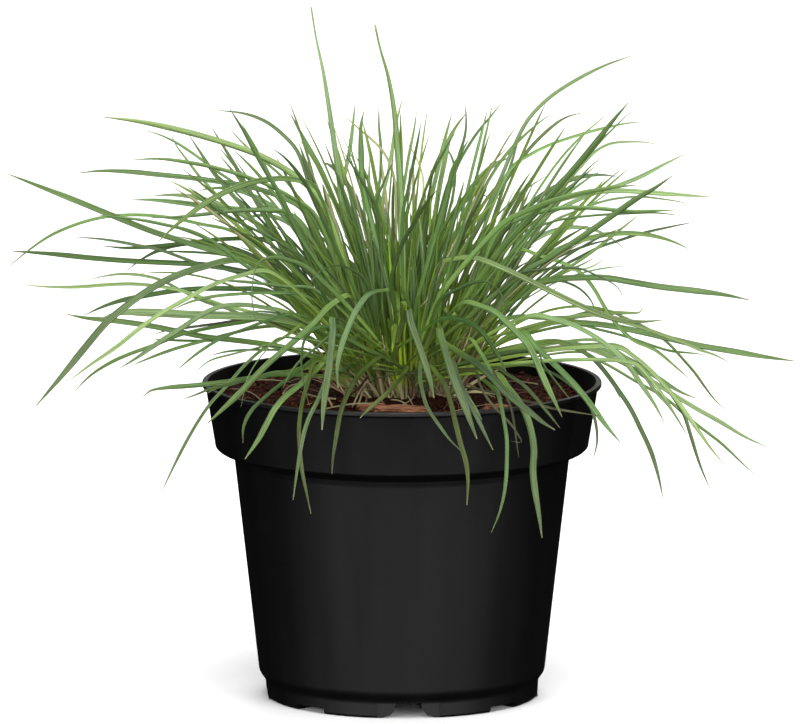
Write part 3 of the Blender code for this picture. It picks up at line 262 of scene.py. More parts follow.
# Long leaves: width in mm, kind, the tip's depth behind the axis in mm, and the picture's columns and
# rows that the leaf passes, from its tip inwards. A third number is the depth there.
LONG_LEAVES = (
    (3.2, LIGHT, 25, (311, 7), (316, 38), (323, 71), (328, 102), (334, 143), (340, 184), (343, 212)),
    (3.6, LIGHT, -60, (375, 25), (380, 48), (388, 76), (394, 110), (397, 143), (400, 180)),
    (2.0, LIGHT, 70, (634, 55), (604, 66), (573, 82), (548, 99), (528, 120), (514, 147), (498, 185)),
    (3.3, LIGHT, -45, (103, 117), (140, 122), (189, 133), (230, 145), (262, 157), (293, 175), (320, 200)),
    (2.0, BLUE, 95, (214, 110), (245, 114), (266, 122), (283, 135), (297, 151), (310, 186), (322, 215)),
    (3.0, GREEN, -35, (8, 174), (38, 186), (76, 201), (115, 217), (153, 232), (200, 247), (250, 262)),
    (1.7, GREEN, 40, (6, 269), (28, 251), (50, 236), (75, 225), (100, 218), (130, 215), (165, 217),
     (200, 224), (240, 235)),
    (2.7, DARK, 75, (11, 251), (51, 254), (90, 258), (128, 261), (170, 263), (205, 265), (240, 271),
     (290, 282)),
    (3.4, BLUE, -80, (36, 406), (66, 371), (88, 344), (106, 323), (120, 311), (140, 296), (165, 281),
     (200, 268), (250, 262)),
    (4.0, LIGHT, -30, (100, 319), (120, 313), (150, 313), (190, 315), (230, 316), (270, 318), (300, 324),
     (340, 337)),
    (2.8, DARK, 30, (66, 314), (85, 318), (115, 321), (150, 326), (175, 331), (205, 337), (240, 341),
     (275, 346), (300, 352)),
    (2.1, LIGHT, -100, (69, 381), (90, 365), (115, 348), (140, 328), (165, 311), (190, 297), (215, 284),
     (240, 276), (270, 272)),
    (2.4, LIGHT, -115, (120, 368), (135, 359), (155, 345), (180, 329), (205, 313), (220, 307), (240, 305),
     (265, 308), (290, 314)),
    (2.4, GREEN, -55, (143, 397), (150, 391), (165, 388), (190, 386), (210, 384, -45), (240, 380, -40),
     (265, 376), (290, 372), (315, 367)),
    (1.6, BLUE, -70, (161, 493), (172, 470), (184, 446), (199, 420), (211, 403, -60), (225, 388, -55),
     (245, 365), (262, 350), (285, 337), (310, 322)),
    (2.9, GREEN, -110, (208, 423), (222, 410), (240, 393, -88), (255, 377, -76), (270, 362), (290, 345),
     (312, 325), (330, 306), (350, 296)),
    (1.9, DARK, -125, (243, 443), (243, 430), (246, 420), (252, 410, -100), (262, 400, -88),
     (280, 385, -70), (300, 370), (320, 358)),
    (2.9, GREEN, -150, (245, 459), (258, 440), (266, 425), (274, 410, -115), (285, 397, -98),
     (300, 385, -80), (318, 368), (335, 352)),
    (2.0, YELLOW, -118, (311, 514), (306, 490), (302, 470), (300, 450), (299, 430, -110),
     (301, 410, -102), (304, 396, -92), (309, 380), (316, 362)),
    (2.0, BLUE, -140, (293, 500), (296, 478), (299, 458), (303, 437, -132), (309, 418, -120),
     (318, 400, -105), (324, 385, -92), (329, 372), (336, 355)),
    (3.3, BLUE, -158, (322, 430), (323, 415), (325, 395), (328, 375, -128), (331, 350, -105),
     (333, 330, -85), (334, 318, -70)),
    (2.3, YELLOW, -122, (332, 474), (333, 458), (336, 438, -118), (340, 415, -108), (345, 400, -95),
     (352, 386, -80), (360, 374), (368, 366), (382, 358)),
    (2.8, BLUE, -130, (338, 388), (337, 370), (340, 352), (346, 333), (354, 315, -95), (362, 302, -80),
     (370, 294, -65), (384, 291, -45), (396, 294, -30)),
    (2.0, YELLOW, -125, (360, 418), (370, 408, -112), (382, 398, -98), (393, 387, -82), (402, 376, -65),
     (408, 366, -50)),
    (3.4, BLUE, -128, (434, 398), (430, 380), (424, 360), (417, 340, -95), (411, 323, -80),
     (408, 310, -65)),
    (2.4, YELLOW, -150, (467, 505), (468, 480), (466, 462), (461, 445), (455, 420, -132),
     (450, 400, -115), (445, 385, -100), (438, 375), (428, 366)),
    (1.9, GREEN, -125, (491, 533), (498, 517), (503, 500), (506, 480), (507, 460), (507, 440, -118),
     (504, 420, -108), (500, 400, -95), (495, 385, -82), (488, 366), (480, 352), (468, 338)),
    (3.2, BLUE, -108, (542, 538), (539, 515), (535, 490), (533, 470), (534, 450, -104), (531, 430, -98),
     (526, 415, -92), (519, 402, -82), (508, 388, -68), (495, 374)),
    (3.5, BLUE, -158, (477, 439), (472, 426), (465, 407, -138), (456, 386, -118), (450, 368, -102),
     (445, 350), (441, 338, -74), (438, 328, -62)),
    (3.3, BLUE, -120, (555, 430), (545, 424), (532, 414, -110), (518, 403, -102), (505, 392, -93),
     (492, 378, -82), (478, 365), (462, 355), (448, 346), (436, 341)),
    (3.1, GREEN, -90, (562, 417), (555, 402, -84), (548, 388, -76), (541, 372), (535, 358), (528, 345),
     (519, 335), (507, 323), (495, 312), (480, 306), (462, 303)),
    (2.9, GREEN, -68, (620, 442), (608, 428), (596, 412, -62), (584, 396, -56), (570, 380, -50),
     (556, 366), (545, 356), (535, 346), (522, 332)),
    (1.5, BLUE, -62, (593, 460), (597, 442), (596, 425), (591, 408, -56), (583, 397, -54),
     (572, 386, -50), (556, 375), (545, 370), (525, 365)),
    (2.3, BLUE, -52, (663, 498), (658, 475), (651, 452), (641, 430), (630, 408), (618, 390), (605, 372),
     (592, 358), (575, 348), (550, 342)),
    (1.8, LIGHT, 55, (710, 489), (700, 465), (692, 440), (684, 415), (675, 400), (664, 385), (650, 370),
     (635, 357), (615, 345)),
    (1.5, LIGHT, 95, (755, 475), (740, 461), (722, 444), (700, 427), (685, 415), (668, 400), (650, 389),
     (635, 381), (615, 369), (598, 360), (580, 352)),
    (2.1, LIGHT, -75, (724, 464), (712, 450), (700, 433), (688, 416), (678, 402), (666, 387), (652, 372),
     (636, 358), (615, 347)),
    (2.2, LIGHT, -12, (767, 447), (745, 437), (720, 422), (695, 408), (672, 394), (650, 380), (628, 366),
     (605, 355), (580, 348)),
    (3.0, GREEN, 15, (794, 361), (765, 357), (730, 351), (700, 346), (670, 339), (640, 332), (610, 326),
     (580, 323), (550, 323)),
    (3.1, GREEN, -45, (749, 300), (725, 295), (695, 291), (660, 287), (630, 282), (605, 278), (580, 278),
     (560, 279), (535, 284)),
    (2.6, LIGHT, 60, (711, 197), (680, 195), (650, 193), (620, 191), (590, 193), (560, 200), (535, 210)),
    (2.2, LIGHT, 110, (685, 154), (665, 164), (640, 177), (620, 185), (590, 195), (565, 206), (540, 220)),
    (2.9, GREEN, -70, (672, 176), (655, 188), (635, 200), (615, 214), (595, 228), (570, 245), (550, 258),
     (525, 272)),
    (2.9, GREEN, -95, (628, 103), (612, 122), (598, 140), (580, 162), (560, 185), (540, 207), (520, 228),
     (500, 250)),
    (2.8, LIGHT, -105, (664, 320), (640, 322), (615, 319), (590, 310), (560, 296), (530, 281), (500, 267),
     (475, 258), (454, 259), (438, 266)),
    (2.4, LIGHT, -85, (664, 422), (655, 405), (643, 387), (630, 368), (615, 352), (600, 340), (585, 331),
     (570, 324), (550, 318), (530, 316)),
    (2.8, GREEN, -85, (159, 241), (175, 226), (190, 214), (210, 200), (230, 190), (250, 183), (275, 179),
     (295, 180), (315, 188)),
    (2.2, GREEN, -120, (258, 326), (254, 312), (252, 295), (253, 280), (256, 268), (262, 261), (272, 258),
     (290, 261), (310, 270)),
    (1.8, LIGHT, -55, (24, 285), (50, 287), (78, 287), (105, 285), (130, 284), (155, 286), (178, 290),
     (200, 297), (225, 306), (250, 312)),
)

DRY_LEAVES = (
    (1.2, TAN, -82, (600, 416), (580, 413, -81), (550, 408, -78), (538, 404, -74), (520, 400, -64),
     (500, 394, -50)),
    (1.2, TAN, -112, (510, 441), (517, 442, -112), (522, 443, -111), (515, 430, -109), (505, 418, -104),
     (495, 408, -98), (487, 398, -90), (480, 385, -78), (475, 372, -64)),
    (1.2, TAN, -116, (519, 458), (517, 445), (515, 430), (512, 412, -104), (507, 398, -90), (498, 380),
     (490, 370)),
    (1.4, TAN, 30, (153, 335), (165, 331), (185, 328), (215, 324), (245, 320), (270, 322)),
)

# Leaves that stay joined to the crown, read in the same way.
TUFT_LEAVES = (
    (2.3, GREEN, 60, (290, 113), (306, 143), (321, 170), (334, 200), (345, 225)),
    (2.2, GREEN, -85, (230, 109), (246, 135), (262, 165), (277, 190), (290, 215), (302, 240)),
    (1.9, DARK, 10, (75, 391), (90, 376), (110, 363), (130, 354), (155, 345), (180, 335), (210, 328),
     (240, 323), (270, 320)),
    (1.8, GREEN, 60, (131, 366), (150, 358), (175, 349), (200, 342), (230, 334), (255, 328), (280, 326),
     (305, 328)),
    (1.8, BLUE, -100, (560, 428), (548, 413, -92), (535, 397, -80), (522, 384, -68), (508, 375),
     (496, 368)),
    (2.3, DARK, -78, (570, 399), (561, 389), (549, 374), (542, 363), (537, 352)),
    (1.4, LIGHT, 105, (726, 410), (715, 400), (705, 387), (695, 373), (682, 358), (668, 343), (650, 330),
     (625, 318), (600, 310)),
    (1.5, BLUE, 90, (695, 222), (670, 227), (640, 234), (615, 242), (600, 247), (580, 257), (560, 268)),
    (1.8, BLUE, 130, (586, 112), (565, 118), (545, 133), (527, 152), (510, 175), (497, 195)),
    (1.5, DARK, 100, (503, 101), (492, 115), (478, 132), (468, 147), (458, 165), (450, 190)),
    (1.4, BLUE, 150, (464, 101), (466, 115), (465, 135), (459, 155), (452, 180), (447, 205)),
    (2.1, GREEN, 60, (452, 113), (446, 135), (440, 160), (433, 190), (427, 215)),
    (2.0, GREEN, 160, (355, 103), (353, 125), (350, 150), (344, 180), (341, 205)),
    (1.6, GREEN, -130, (421, 122), (418, 140), (413, 165), (408, 190), (403, 215)),
    (1.6, LIGHT, 110, (403, 96), (400, 108), (396, 125), (392, 150), (388, 175), (383, 200)),
    (2.8, GREEN, -25, (364, 111), (361, 125), (361, 150), (362, 175), (366, 200), (372, 225)),
    (1.5, GREEN, 140, (379, 104), (379, 125), (381, 150), (380, 180), (376, 205)),
    (1.9, DARK, -110, (272, 148), (285, 158), (297, 172), (308, 188), (318, 210), (330, 235)),
    (2.4, BLUE, 45, (299, 143), (304, 158), (310, 175), (317, 195), (325, 215)),
    (1.4, GREEN, 70, (228, 126), (238, 138), (250, 150), (265, 162), (285, 180), (300, 200)),
    (1.5, GREEN, 85, (141, 129), (160, 135), (175, 142), (195, 155), (215, 170), (240, 187), (262, 205)),
    (2.2, GREEN, -20, (131, 160), (160, 159), (190, 163), (215, 168), (240, 175), (265, 184),
     (290, 197), (315, 215)),
    (2.6, GREEN, 55, (79, 173), (100, 171), (130, 172), (160, 175), (190, 178), (220, 182), (250, 187),
     (280, 197), (305, 212)),
    (1.4, GREEN, 110, (170, 131), (176, 145), (187, 160), (200, 177), (215, 193), (235, 215), (255, 240)),
    (2.2, GREEN, 20, (189, 135), (200, 152), (213, 172), (228, 190), (245, 210), (262, 232), (280, 255)),
    (1.4, GREEN, 135, (217, 145), (227, 157), (238, 170), (255, 185), (275, 205)),
    (1.5, DARK, -65, (184, 185), (200, 195), (215, 208), (235, 220), (255, 230), (280, 243), (305, 262)),
    (2.8, GREEN, 65, (131, 200), (150, 200), (180, 203), (210, 207), (245, 210), (280, 212), (300, 222)),
    (2.2, GREEN, -10, (150, 218), (180, 217), (210, 214), (240, 211), (270, 211), (290, 214)),
    (2.2, DARK, 95, (103, 246), (125, 248), (150, 247), (180, 244), (205, 241), (230, 239), (260, 239),
     (285, 243)),
    (1.6, BLUE, 15, (74, 237), (100, 239), (120, 242), (140, 246), (160, 250), (185, 259), (205, 266),
     (230, 270), (260, 276)),
    (1.8, GREEN, -60, (97, 215), (115, 217), (140, 220), (165, 225), (190, 231), (210, 240), (225, 250),
     (240, 262), (255, 272)),
    (1.4, DARK, 120, (151, 255), (160, 252), (185, 252), (215, 254), (240, 258), (265, 262)),
    (1.5, LIGHT, -20, (88, 280), (105, 276), (125, 274), (150, 277), (165, 282), (180, 290), (205, 302),
     (230, 310)),
    (2.6, DARK, 50, (85, 315), (100, 308), (120, 301), (145, 296), (175, 291), (200, 289), (235, 289),
     (270, 292)),
    (1.6, GREEN, -75, (172, 310), (190, 302), (210, 297), (240, 294), (275, 293), (310, 298)),
    (1.4, DARK, 95, (151, 339), (165, 340), (200, 341), (240, 340), (270, 345)),
    (1.5, DARK, -100, (176, 371), (190, 359), (205, 348), (222, 338), (245, 329), (270, 320),
     (300, 315)),
    (1.2, GREEN, 70, (209, 356), (225, 352), (245, 350), (280, 350), (310, 350)),
    (1.3, LIGHT, -85, (192, 380), (200, 368), (212, 360), (230, 355), (250, 350), (275, 346)),
    (1.4, DARK, -75, (181, 400), (195, 395), (210, 389, -68), (225, 385, -60), (240, 381), (262, 376)),
    (1.6, GREEN, -45, (206, 394), (215, 389), (232, 384, -40), (255, 378), (280, 372)),
    (1.2, GREEN, -105, (241, 407), (244, 392), (247, 380), (255, 365), (265, 352), (280, 338)),
    (1.7, DARK, -100, (311, 283), (316, 275), (325, 269), (335, 266), (345, 267), (355, 272),
     (365, 281)),
    (1.7, DARK, -115, (309, 405), (305, 390), (302, 375), (301, 358), (303, 343), (308, 334),
     (318, 328), (335, 327), (352, 332)),
    (1.2, DARK, -95, (318, 378), (330, 374), (345, 369), (360, 362)),
    (2.4, DARK, -80, (283, 388), (291, 373), (302, 360), (318, 347), (335, 336)),
    (1.8, DARK, -110, (506, 320), (504, 305), (500, 292), (494, 286), (485, 282), (470, 284), (455, 291),
     (440, 300)),
    (2.4, DARK, -135, (506, 371), (499, 356), (491, 343), (483, 333), (474, 325), (462, 320), (450, 318),
     (437, 321)),
    (1.6, LIGHT, -15, (688, 437), (678, 420), (668, 405), (655, 391), (645, 377), (632, 362), (615, 350),
     (595, 340)),
    (1.9, LIGHT, -95, (676, 415), (668, 402), (660, 391), (648, 376), (632, 363)),
    (2.8, LIGHT, 75, (695, 398), (680, 392), (665, 383), (645, 370), (625, 358), (600, 350), (570, 344),
     (545, 342)),
    (1.5, GREEN, 125, (707, 355), (690, 353), (670, 351), (650, 345), (630, 338), (600, 330), (570, 325)),
    (1.8, LIGHT, -75, (730, 363), (715, 355), (700, 350), (685, 343), (660, 334), (640, 327), (615, 320),
     (585, 315)),
    (1.9, GREEN, -20, (692, 381), (678, 369), (655, 350), (633, 340), (617, 325), (605, 308), (592, 286),
     (578, 271), (560, 262), (540, 256), (515, 250)),
    (1.5, DARK, 45, (597, 322), (592, 303), (582, 291), (570, 284), (558, 281), (545, 284), (530, 290)),
    (1.4, BLUE, -55, (621, 306), (622, 296), (618, 288), (608, 281), (595, 275), (580, 269), (560, 268),
     (540, 270), (515, 276)),
    (2.2, GREEN, 30, (642, 306), (641, 312), (630, 313), (610, 313), (590, 315), (565, 318), (540, 318),
     (510, 318)),
    (1.3, LIGHT, 60, (606, 257), (597, 264), (585, 269), (570, 270), (550, 268)),
    (1.4, GREEN, 105, (596, 257), (585, 263), (570, 270), (550, 280), (530, 292)),
    (1.6, GREEN, 35, (640, 214), (620, 230), (600, 246), (585, 257), (565, 270), (545, 282), (520, 298)),
    (1.4, GREEN, -20, (684, 216), (655, 213), (620, 214), (590, 216), (560, 220), (535, 228),
     (515, 238)),
    (2.5, GREEN, -60, (677, 210), (655, 211), (630, 212), (600, 209), (570, 208), (545, 211), (520, 219),
     (498, 232)),
    (1.4, LIGHT, 125, (695, 206), (680, 202), (660, 199), (640, 197), (615, 199), (595, 204), (575, 212),
     (550, 224)),
    (2.8, GREEN, -110, (638, 185), (620, 187), (600, 190), (575, 195), (550, 202), (525, 212),
     (500, 226)),
    (1.5, LIGHT, 85, (664, 147), (650, 143), (630, 142), (610, 144), (595, 152), (580, 168), (562, 188),
     (545, 210)),
    (1.8, GREEN, 100, (647, 122), (630, 123), (610, 127), (590, 132), (570, 138), (550, 145), (530, 155),
     (510, 170)),
    (1.2, GREEN, 70, (637, 108), (625, 117), (615, 127), (600, 142), (585, 160)),
    (1.2, GREEN, 20, (611, 110), (598, 122), (585, 133), (570, 148), (558, 162), (545, 180), (530, 203)),
    (1.4, GREEN, -50, (603, 156), (590, 167), (578, 180), (565, 193), (548, 210), (530, 230)),
    (1.8, DARK, -15, (595, 166), (585, 175), (570, 187), (550, 202), (533, 218), (515, 238)),
    (1.6, GREEN, 15, (553, 113), (540, 122), (525, 135), (510, 150), (497, 167), (485, 187), (475, 208)),
    (1.3, TAN, -60, (515, 128), (508, 138), (500, 152), (490, 170), (480, 190), (470, 212)),
    (1.3, GREEN, -140, (491, 130), (486, 145), (480, 165), (474, 185), (468, 207)),
    (2.4, GREEN, 25, (467, 112), (456, 127), (449, 140), (445, 160), (440, 185), (436, 210)),
    (2.2, GREEN, -85, (469, 139), (460, 155), (452, 172), (447, 195), (440, 220)),
    (1.4, DARK, 70, (441, 136), (446, 147), (452, 158), (455, 172), (453, 195), (447, 220)),
    (1.4, TAN, 90, (339, 114), (350, 121), (360, 130), (372, 140), (384, 153), (392, 170), (396, 195)),
    (1.1, TAN, 130, (402, 137), (410, 147), (418, 162), (423, 178), (423, 197), (420, 220)),
    (1.6, DARK, -55, (343, 151), (350, 162), (358, 175), (368, 192), (378, 212)),
    (1.4, DARK, 10, (394, 160), (389, 170), (384, 182), (377, 202)),
    (2.0, DARK, -120, (437, 190), (425, 205), (413, 225), (402, 245), (395, 265), (391, 285)),
    (1.5, GREEN, 40, (417, 109), (414, 130), (409, 155), (405, 180), (402, 205)),
    (1.8, GREEN, -35, (213, 280), (230, 281), (255, 283), (285, 287), (315, 290)),
    (2.0, BLUE, -128, (461, 451), (450, 440), (438, 424, -118), (428, 409, -108), (422, 390, -90),
     (420, 370, -72), (424, 352)),
    (2.2, BLUE, -172, (493, 450), (487, 438), (480, 424, -154), (472, 408, -138), (464, 392, -122),
     (458, 378), (450, 360)),
    (2.0, GREEN, -142, (482, 420), (477, 411), (470, 401, -126), (463, 390), (455, 377), (447, 365)),
    (1.3, TAN, -5, (622, 403), (615, 388), (608, 376), (600, 366), (588, 356), (570, 347)),
)

# Leaves behind the clump, out of the viewer's sight: bearing from +X in degrees, length in mm, and lean
# from upright in degrees at the foot and at the tip.
FAR_LEAVES = (
    (28, 172, 30, 118),
    (41, 178, 22, 104),
    (53, 186, 34, 126),
    (64, 160, 16, 92),
    (75, 182, 30, 112),
    (86, 176, 24, 132),
    (97, 183, 36, 108),
    (108, 164, 18, 96),
    (119, 184, 32, 122),
    (130, 176, 26, 106),
    (142, 180, 34, 128),
    (154, 166, 24, 100),
)
FAR_LEAF_WIDTH = 2.6


def lengths_along(points):
    """The distance from the first point to each, along the line through them."""
    steps = np.linalg.norm(np.diff(points, axis=0), axis=1)
    return np.concatenate([[0.0], np.cumsum(steps)])


def resampled(points, count):
    """The same line as evenly spaced points."""
    along = lengths_along(points)
    wanted = np.linspace(0.0, along[-1], count)
    return np.stack([np.interp(wanted, along, points[:, axis]) for axis in range(3)], axis=1)


def smooth_curve(knots, count):
    """Evenly spaced points on the centripetal Catmull-Rom curve through the knots."""
    first = 2 * knots[0] - knots[1]
    last = 2 * knots[-1] - knots[-2]
    knots = np.vstack([first, knots, last])
    stretches = []
    for a, b, c, d in zip(knots, knots[1:], knots[2:], knots[3:]):
        ta = 0.0
        tb = ta + math.sqrt(np.linalg.norm(b - a))
        tc = tb + math.sqrt(np.linalg.norm(c - b))
        td = tc + math.sqrt(np.linalg.norm(d - c))
        t = np.linspace(tb, tc, CURVE_STEPS)[:, None]
        ab = (tb - t) / (tb - ta) * a + (t - ta) / (tb - ta) * b
        bc = (tc - t) / (tc - tb) * b + (t - tb) / (tc - tb) * c
        cd = (td - t) / (td - tc) * c + (t - tc) / (td - tc) * d
        abc = (tc - t) / (tc - ta) * ab + (t - ta) / (tc - ta) * bc
        bcd = (td - t) / (td - tb) * bc + (t - tb) / (td - tb) * cd
        stretches.append((tc - t) / (tc - tb) * abc + (t - tb) / (tc - tb) * bcd)
    return resampled(np.vstack(stretches), count)


def sighted(column, row, depth):
    """The point this far behind the pot's axis that the picture shows at this column and row."""
    forward = (AIM - EYE) / np.linalg.norm(AIM - EYE)
    right = np.array((1.0, 0.0, 0.0))
    up = np.cross(right, forward)
    across = column - PICTURE_MIDDLE[0]
    down = row - PICTURE_MIDDLE[1]
    ray = forward * FOCAL_PIXELS + right * across - up * down
    return EYE + ray * ((depth - EYE[1]) / ray[1])


def crown_radius(height, bearing=0.0):
    """The crown's radius at this height above its foot, in metres."""
    part = min(max(height / (CROWN_HEIGHT * MM), 0.0), 1.0)
    lobes = 1 + CROWN_LOBE_DEPTH * math.cos(CROWN_LOBES * bearing)
    return CROWN_RADIUS * MM * (1 + CROWN_FLARE * part) * math.sqrt(1 - part**4) * lobes


def in_crown(point, margin):
    """Whether a point lies inside the crown or within this margin of it."""
    height = point[2] - CROWN_FOOT * MM
    radius = math.hypot(point[0], point[1])
    if height > CROWN_HEIGHT * MM + margin:
        return False
    if height < LOW * MM and radius < CROWN_RADIUS * MM:
        return True
    return radius < crown_radius(height) * (1 + CROWN_LOBE_DEPTH) + margin


def tiller_foot(number):
    """Where this tiller comes out of the peat."""
    radius = TILLER_SPREAD * MM * math.sqrt((number + 0.5) / TILLERS)
    bearing = GOLDEN_ANGLE * number
    return np.array((radius * math.cos(bearing), radius * math.sin(bearing), (CROWN_FOOT + 0.2) * MM))


def tiller_axis(foot):
    """The direction that a tiller with this foot grows in, leaning out more the further out it stands."""
    lean = TILLER_LEAN * math.hypot(foot[0], foot[1]) / (TILLER_SPREAD * MM)
    bearing = math.atan2(foot[1], foot[0])
    return np.array((math.sin(lean) * math.cos(bearing), math.sin(lean) * math.sin(bearing), math.cos(lean)))


def nearest_foot(x, y):
    """The foot of the tiller nearest to this place."""
    feet = [tiller_foot(number) for number in range(TILLERS)]
    return min(feet, key=lambda foot: math.hypot(foot[0] - x, foot[1] - y))


def leaf_path(row, number, nudge):
    """The leaf's middle line from the crown's foot to its tip, as evenly spaced points."""
    tip_depth = row[2]
    sightings = row[3:]
    outward = -1.0 if tip_depth < 0 else 1.0
    shift = outward * NUDGE_DEPTH * nudge

    tip = sighted(sightings[0][0], sightings[0][1], (tip_depth + shift) * MM)
    reach = math.hypot(tip[0], tip[1])
    rise = max(tip[2] - SOIL_TOP * MM, MM)
    lean = math.atan2(reach, rise) / (math.pi / 2)
    outset = BASE_SPREAD * MM * lean**0.8
    bearing = math.atan2(tip[1], tip[0]) + SWAY * math.sin(SWAY_STEP * number) + NUDGE_TURN * nudge
    base = nearest_foot(outset * math.cos(bearing), outset * math.sin(bearing))

    # Depth is read off between the places where it is stated, by how far along the picture they are.
    base_column = PICTURE_MIDDLE[0] + base[0] * FOCAL_PIXELS / -EYE[1]
    flat = np.array([(base_column, FOOT_ROW, 0.0)] + [(s[0], s[1], 0.0) for s in reversed(sightings)])
    part = (lengths_along(flat) / lengths_along(flat)[-1]) ** DEPTH_POWER
    stated = [(part[0], base[1] / MM)]
    for where, sighting in zip(part[1:-1], reversed(sightings[1:])):
        if len(sighting) == 3:
            stated.append((where, sighting[2] + shift * where))
    stated.append((1.0, tip_depth + shift))
    depths = np.interp(part[1:], *zip(*stated)) * MM
    seen = [sighted(s[0], s[1], depth) for s, depth in zip(reversed(sightings), depths)]

    sheath = min(SHEATH_RISE * MM, max(SHEATH_PART * (seen[0][2] - base[2]), LEAST_SHEATH * MM))
    return smooth_curve(np.array([base, base + tiller_axis(base) * sheath, *seen]), PATH_SAMPLES)


def arc(start, bearing, lean, droop, length, count, swing=0.0):
    """A path from this start that leans this far at first and bends over by the droop."""
    parts = np.linspace(0.0, 1.0, count)
    leans = lean + droop * parts**BEND_POWER
    bearings = bearing + swing * parts**2
    outward = np.sin(leans)
    steps = np.stack([outward * np.cos(bearings), outward * np.sin(bearings), np.cos(leans)], axis=1)
    step = length * MM / (count - 1)
    return start + np.vstack([np.zeros(3), np.cumsum(steps[1:] * step, axis=0)])


def far_leaf_path(bearing, length, lean_at_foot, lean_at_tip, nudge):
    """A leaf that leaves the crown at one lean and bends over to another."""
    bearing = math.radians(bearing) + NUDGE_TURN * nudge
    outset = FAR_SPREAD * BASE_SPREAD * MM
    foot = nearest_foot(outset * math.cos(bearing), outset * math.sin(bearing))
    droop = math.radians(lean_at_tip - lean_at_foot)
    return arc(foot, bearing, math.radians(lean_at_foot), droop, length, PATH_SAMPLES)


def leaf_widths(count, width):
    """The blade's width at evenly spaced places: narrow in its sheath, then long, with a blunt point."""
    part = np.linspace(0.0, 1.0, count)
    sheath = 0.55 + 0.45 * np.clip(part / 0.3, 0.0, 1.0)
    taper = 0.6 + 0.4 * np.clip((1.0 - part) / 0.4, 0.0, 1.0)
    point = np.sqrt(np.clip((1.0 - part) / 0.05, 0.0, 1.0))
    return width * MM * sheath * taper * point


def is_clear(path, widths, placed):
    """Whether a leaf keeps its distance from every leaf in the list."""
    for other_path, other_widths in placed:
        apart = np.linalg.norm(path[:, None] - other_path[None], axis=2)
        needed = (widths[:, None] + other_widths[None]) / 2 + CLEARANCE * MM
        if (apart < needed).any():
            return False
    return True


def is_clear_of_pot(path, widths):
    """Whether a leaf keeps its distance from the lip, the wall and the peat."""
    radii = np.hypot(path[:, 0], path[:, 1])
    outside = radii - widths / 2 > (LIP_RADIUS + LIP_CLEARANCE) * MM
    over_lip = path[:, 2] - widths / 2 > (LIP_TOP + LIP_CLEARANCE) * MM
    over_peat = (path[:, 2] > (SOIL_TOP + SOIL_LUMP + PEAT_CLEARANCE) * MM) & (radii < INSIDE_LIP * MM)
    return (outside | over_lip | over_peat).all()


def ring_places(count, segments):
    """Which of a path's points carry the blade's rings. The last segment is the short point."""
    return [round(i * (count - 1) / (segments - POINT_PART)) for i in range(segments)] + [count - 1]


def chords(path, segments):
    """The straight stretches that the blade's rings make of its path, with as many points."""
    picks = ring_places(len(path), segments)
    order = np.arange(len(path))
    return np.stack([np.interp(order, picks, path[picks, axis]) for axis in range(3)], axis=1)


def first_outside(path, margin):
    """The number of the path's first point that is outside the crown for good."""
    return 1 + max(i for i, point in enumerate(path) if in_crown(point, margin))


def placed_leaf(path_of, width, segments, placed, margin):
    """The leaf's path, moved out and in until it clears the blades placed, and its first point outside.

    Its chords and widths join that list. A leaf that finds no place stays as it was sighted.
    """
    for trial in range(TRIALS):
        nudge = (trial + 1) // 2 * (1 if trial % 2 else -1)
        path = path_of(nudge)
        start = first_outside(path, margin)
        widths = leaf_widths(PATH_SAMPLES, width)[start:]
        line = chords(path[start:], segments)
        if is_clear_of_pot(line, widths) and is_clear(line, widths, placed):
            placed.append((line, widths))
            return path, start
    path = path_of(0)
    return path, first_outside(path, margin)


def blade_directions(path):
    """The direction across the blade and the direction its upper face looks, at each point.

    A blade lies square to the upright plane it bends in, then turns about its own length by one angle,
    part of the way towards the viewer.
    """
    tangents = np.gradient(path, axis=0)
    tangents /= np.linalg.norm(tangents, axis=1)[:, None]
    outward = path[-1] - path[0]
    level = np.array((-outward[1], outward[0], 0.0))
    level = level - (tangents @ level)[:, None] * tangents
    level /= np.linalg.norm(level, axis=1)[:, None]
    upper = np.cross(tangents, level)
    middle = len(path) // 2
    facing = np.cross(tangents[middle], EYE - path[middle])
    turn = math.atan2(facing @ upper[middle], facing @ level[middle])
    if turn > math.pi / 2:
        turn -= math.pi
    if turn < -math.pi / 2:
        turn += math.pi
    turn = max(-MOST_TURN, min(MOST_TURN, turn * TURN_TO_VIEWER))
    across = math.cos(turn) * level + math.sin(turn) * upper
    upper = np.cross(tangents, across)
    return across, upper if upper[:, 2].sum() > 0 else -upper


def add_object(name, mesh, collection, material=None):
    """An object with this mesh in this collection."""
    obj = bpy.data.objects.new(name, mesh)
    collection.objects.link(obj)
    if material:
        mesh.materials.append(material)
    return obj


def add_bmesh(name, bm, collection, material=None):
    """An object made from a bmesh, which is freed."""
    mesh = bpy.data.meshes.new(name)
    bmesh.ops.recalc_face_normals(bm, faces=bm.faces)
    bmesh.ops.triangulate(bm, faces=bm.faces)
    bm.to_mesh(mesh)
    bm.free()
    return add_object(name, mesh, collection, material)


def add_cutter(name, bm):
    """A guide or cutter, which is removed once the piece that it shapes is finished."""
    return add_bmesh(name, bm, cutters)


def add_turned(name, profile, steps, material):
    """A profile of radius and height in mm, turned about the Z axis."""
    mesh = bpy.data.meshes.new(name)
    points = [(radius * MM, 0.0, height * MM) for radius, height in profile]
    mesh.from_pydata(points, [(i, i + 1) for i in range(len(points) - 1)], [])
    obj = add_object(name, mesh, pieces, material)
    screw = obj.modifiers.new("Turned", "SCREW")
    screw.axis = "Z"
    screw.angle = math.tau
    screw.steps = steps
    screw.render_steps = steps
    screw.use_merge_vertices = True
    screw.merge_threshold = 0.0001
    return obj


def add_boolean(obj, other, operation):
    """A Boolean of the object with another."""
    modifier = obj.modifiers.new(other.name, "BOOLEAN")
    modifier.operation = operation
    modifier.object = other
    modifier.solver = "EXACT"


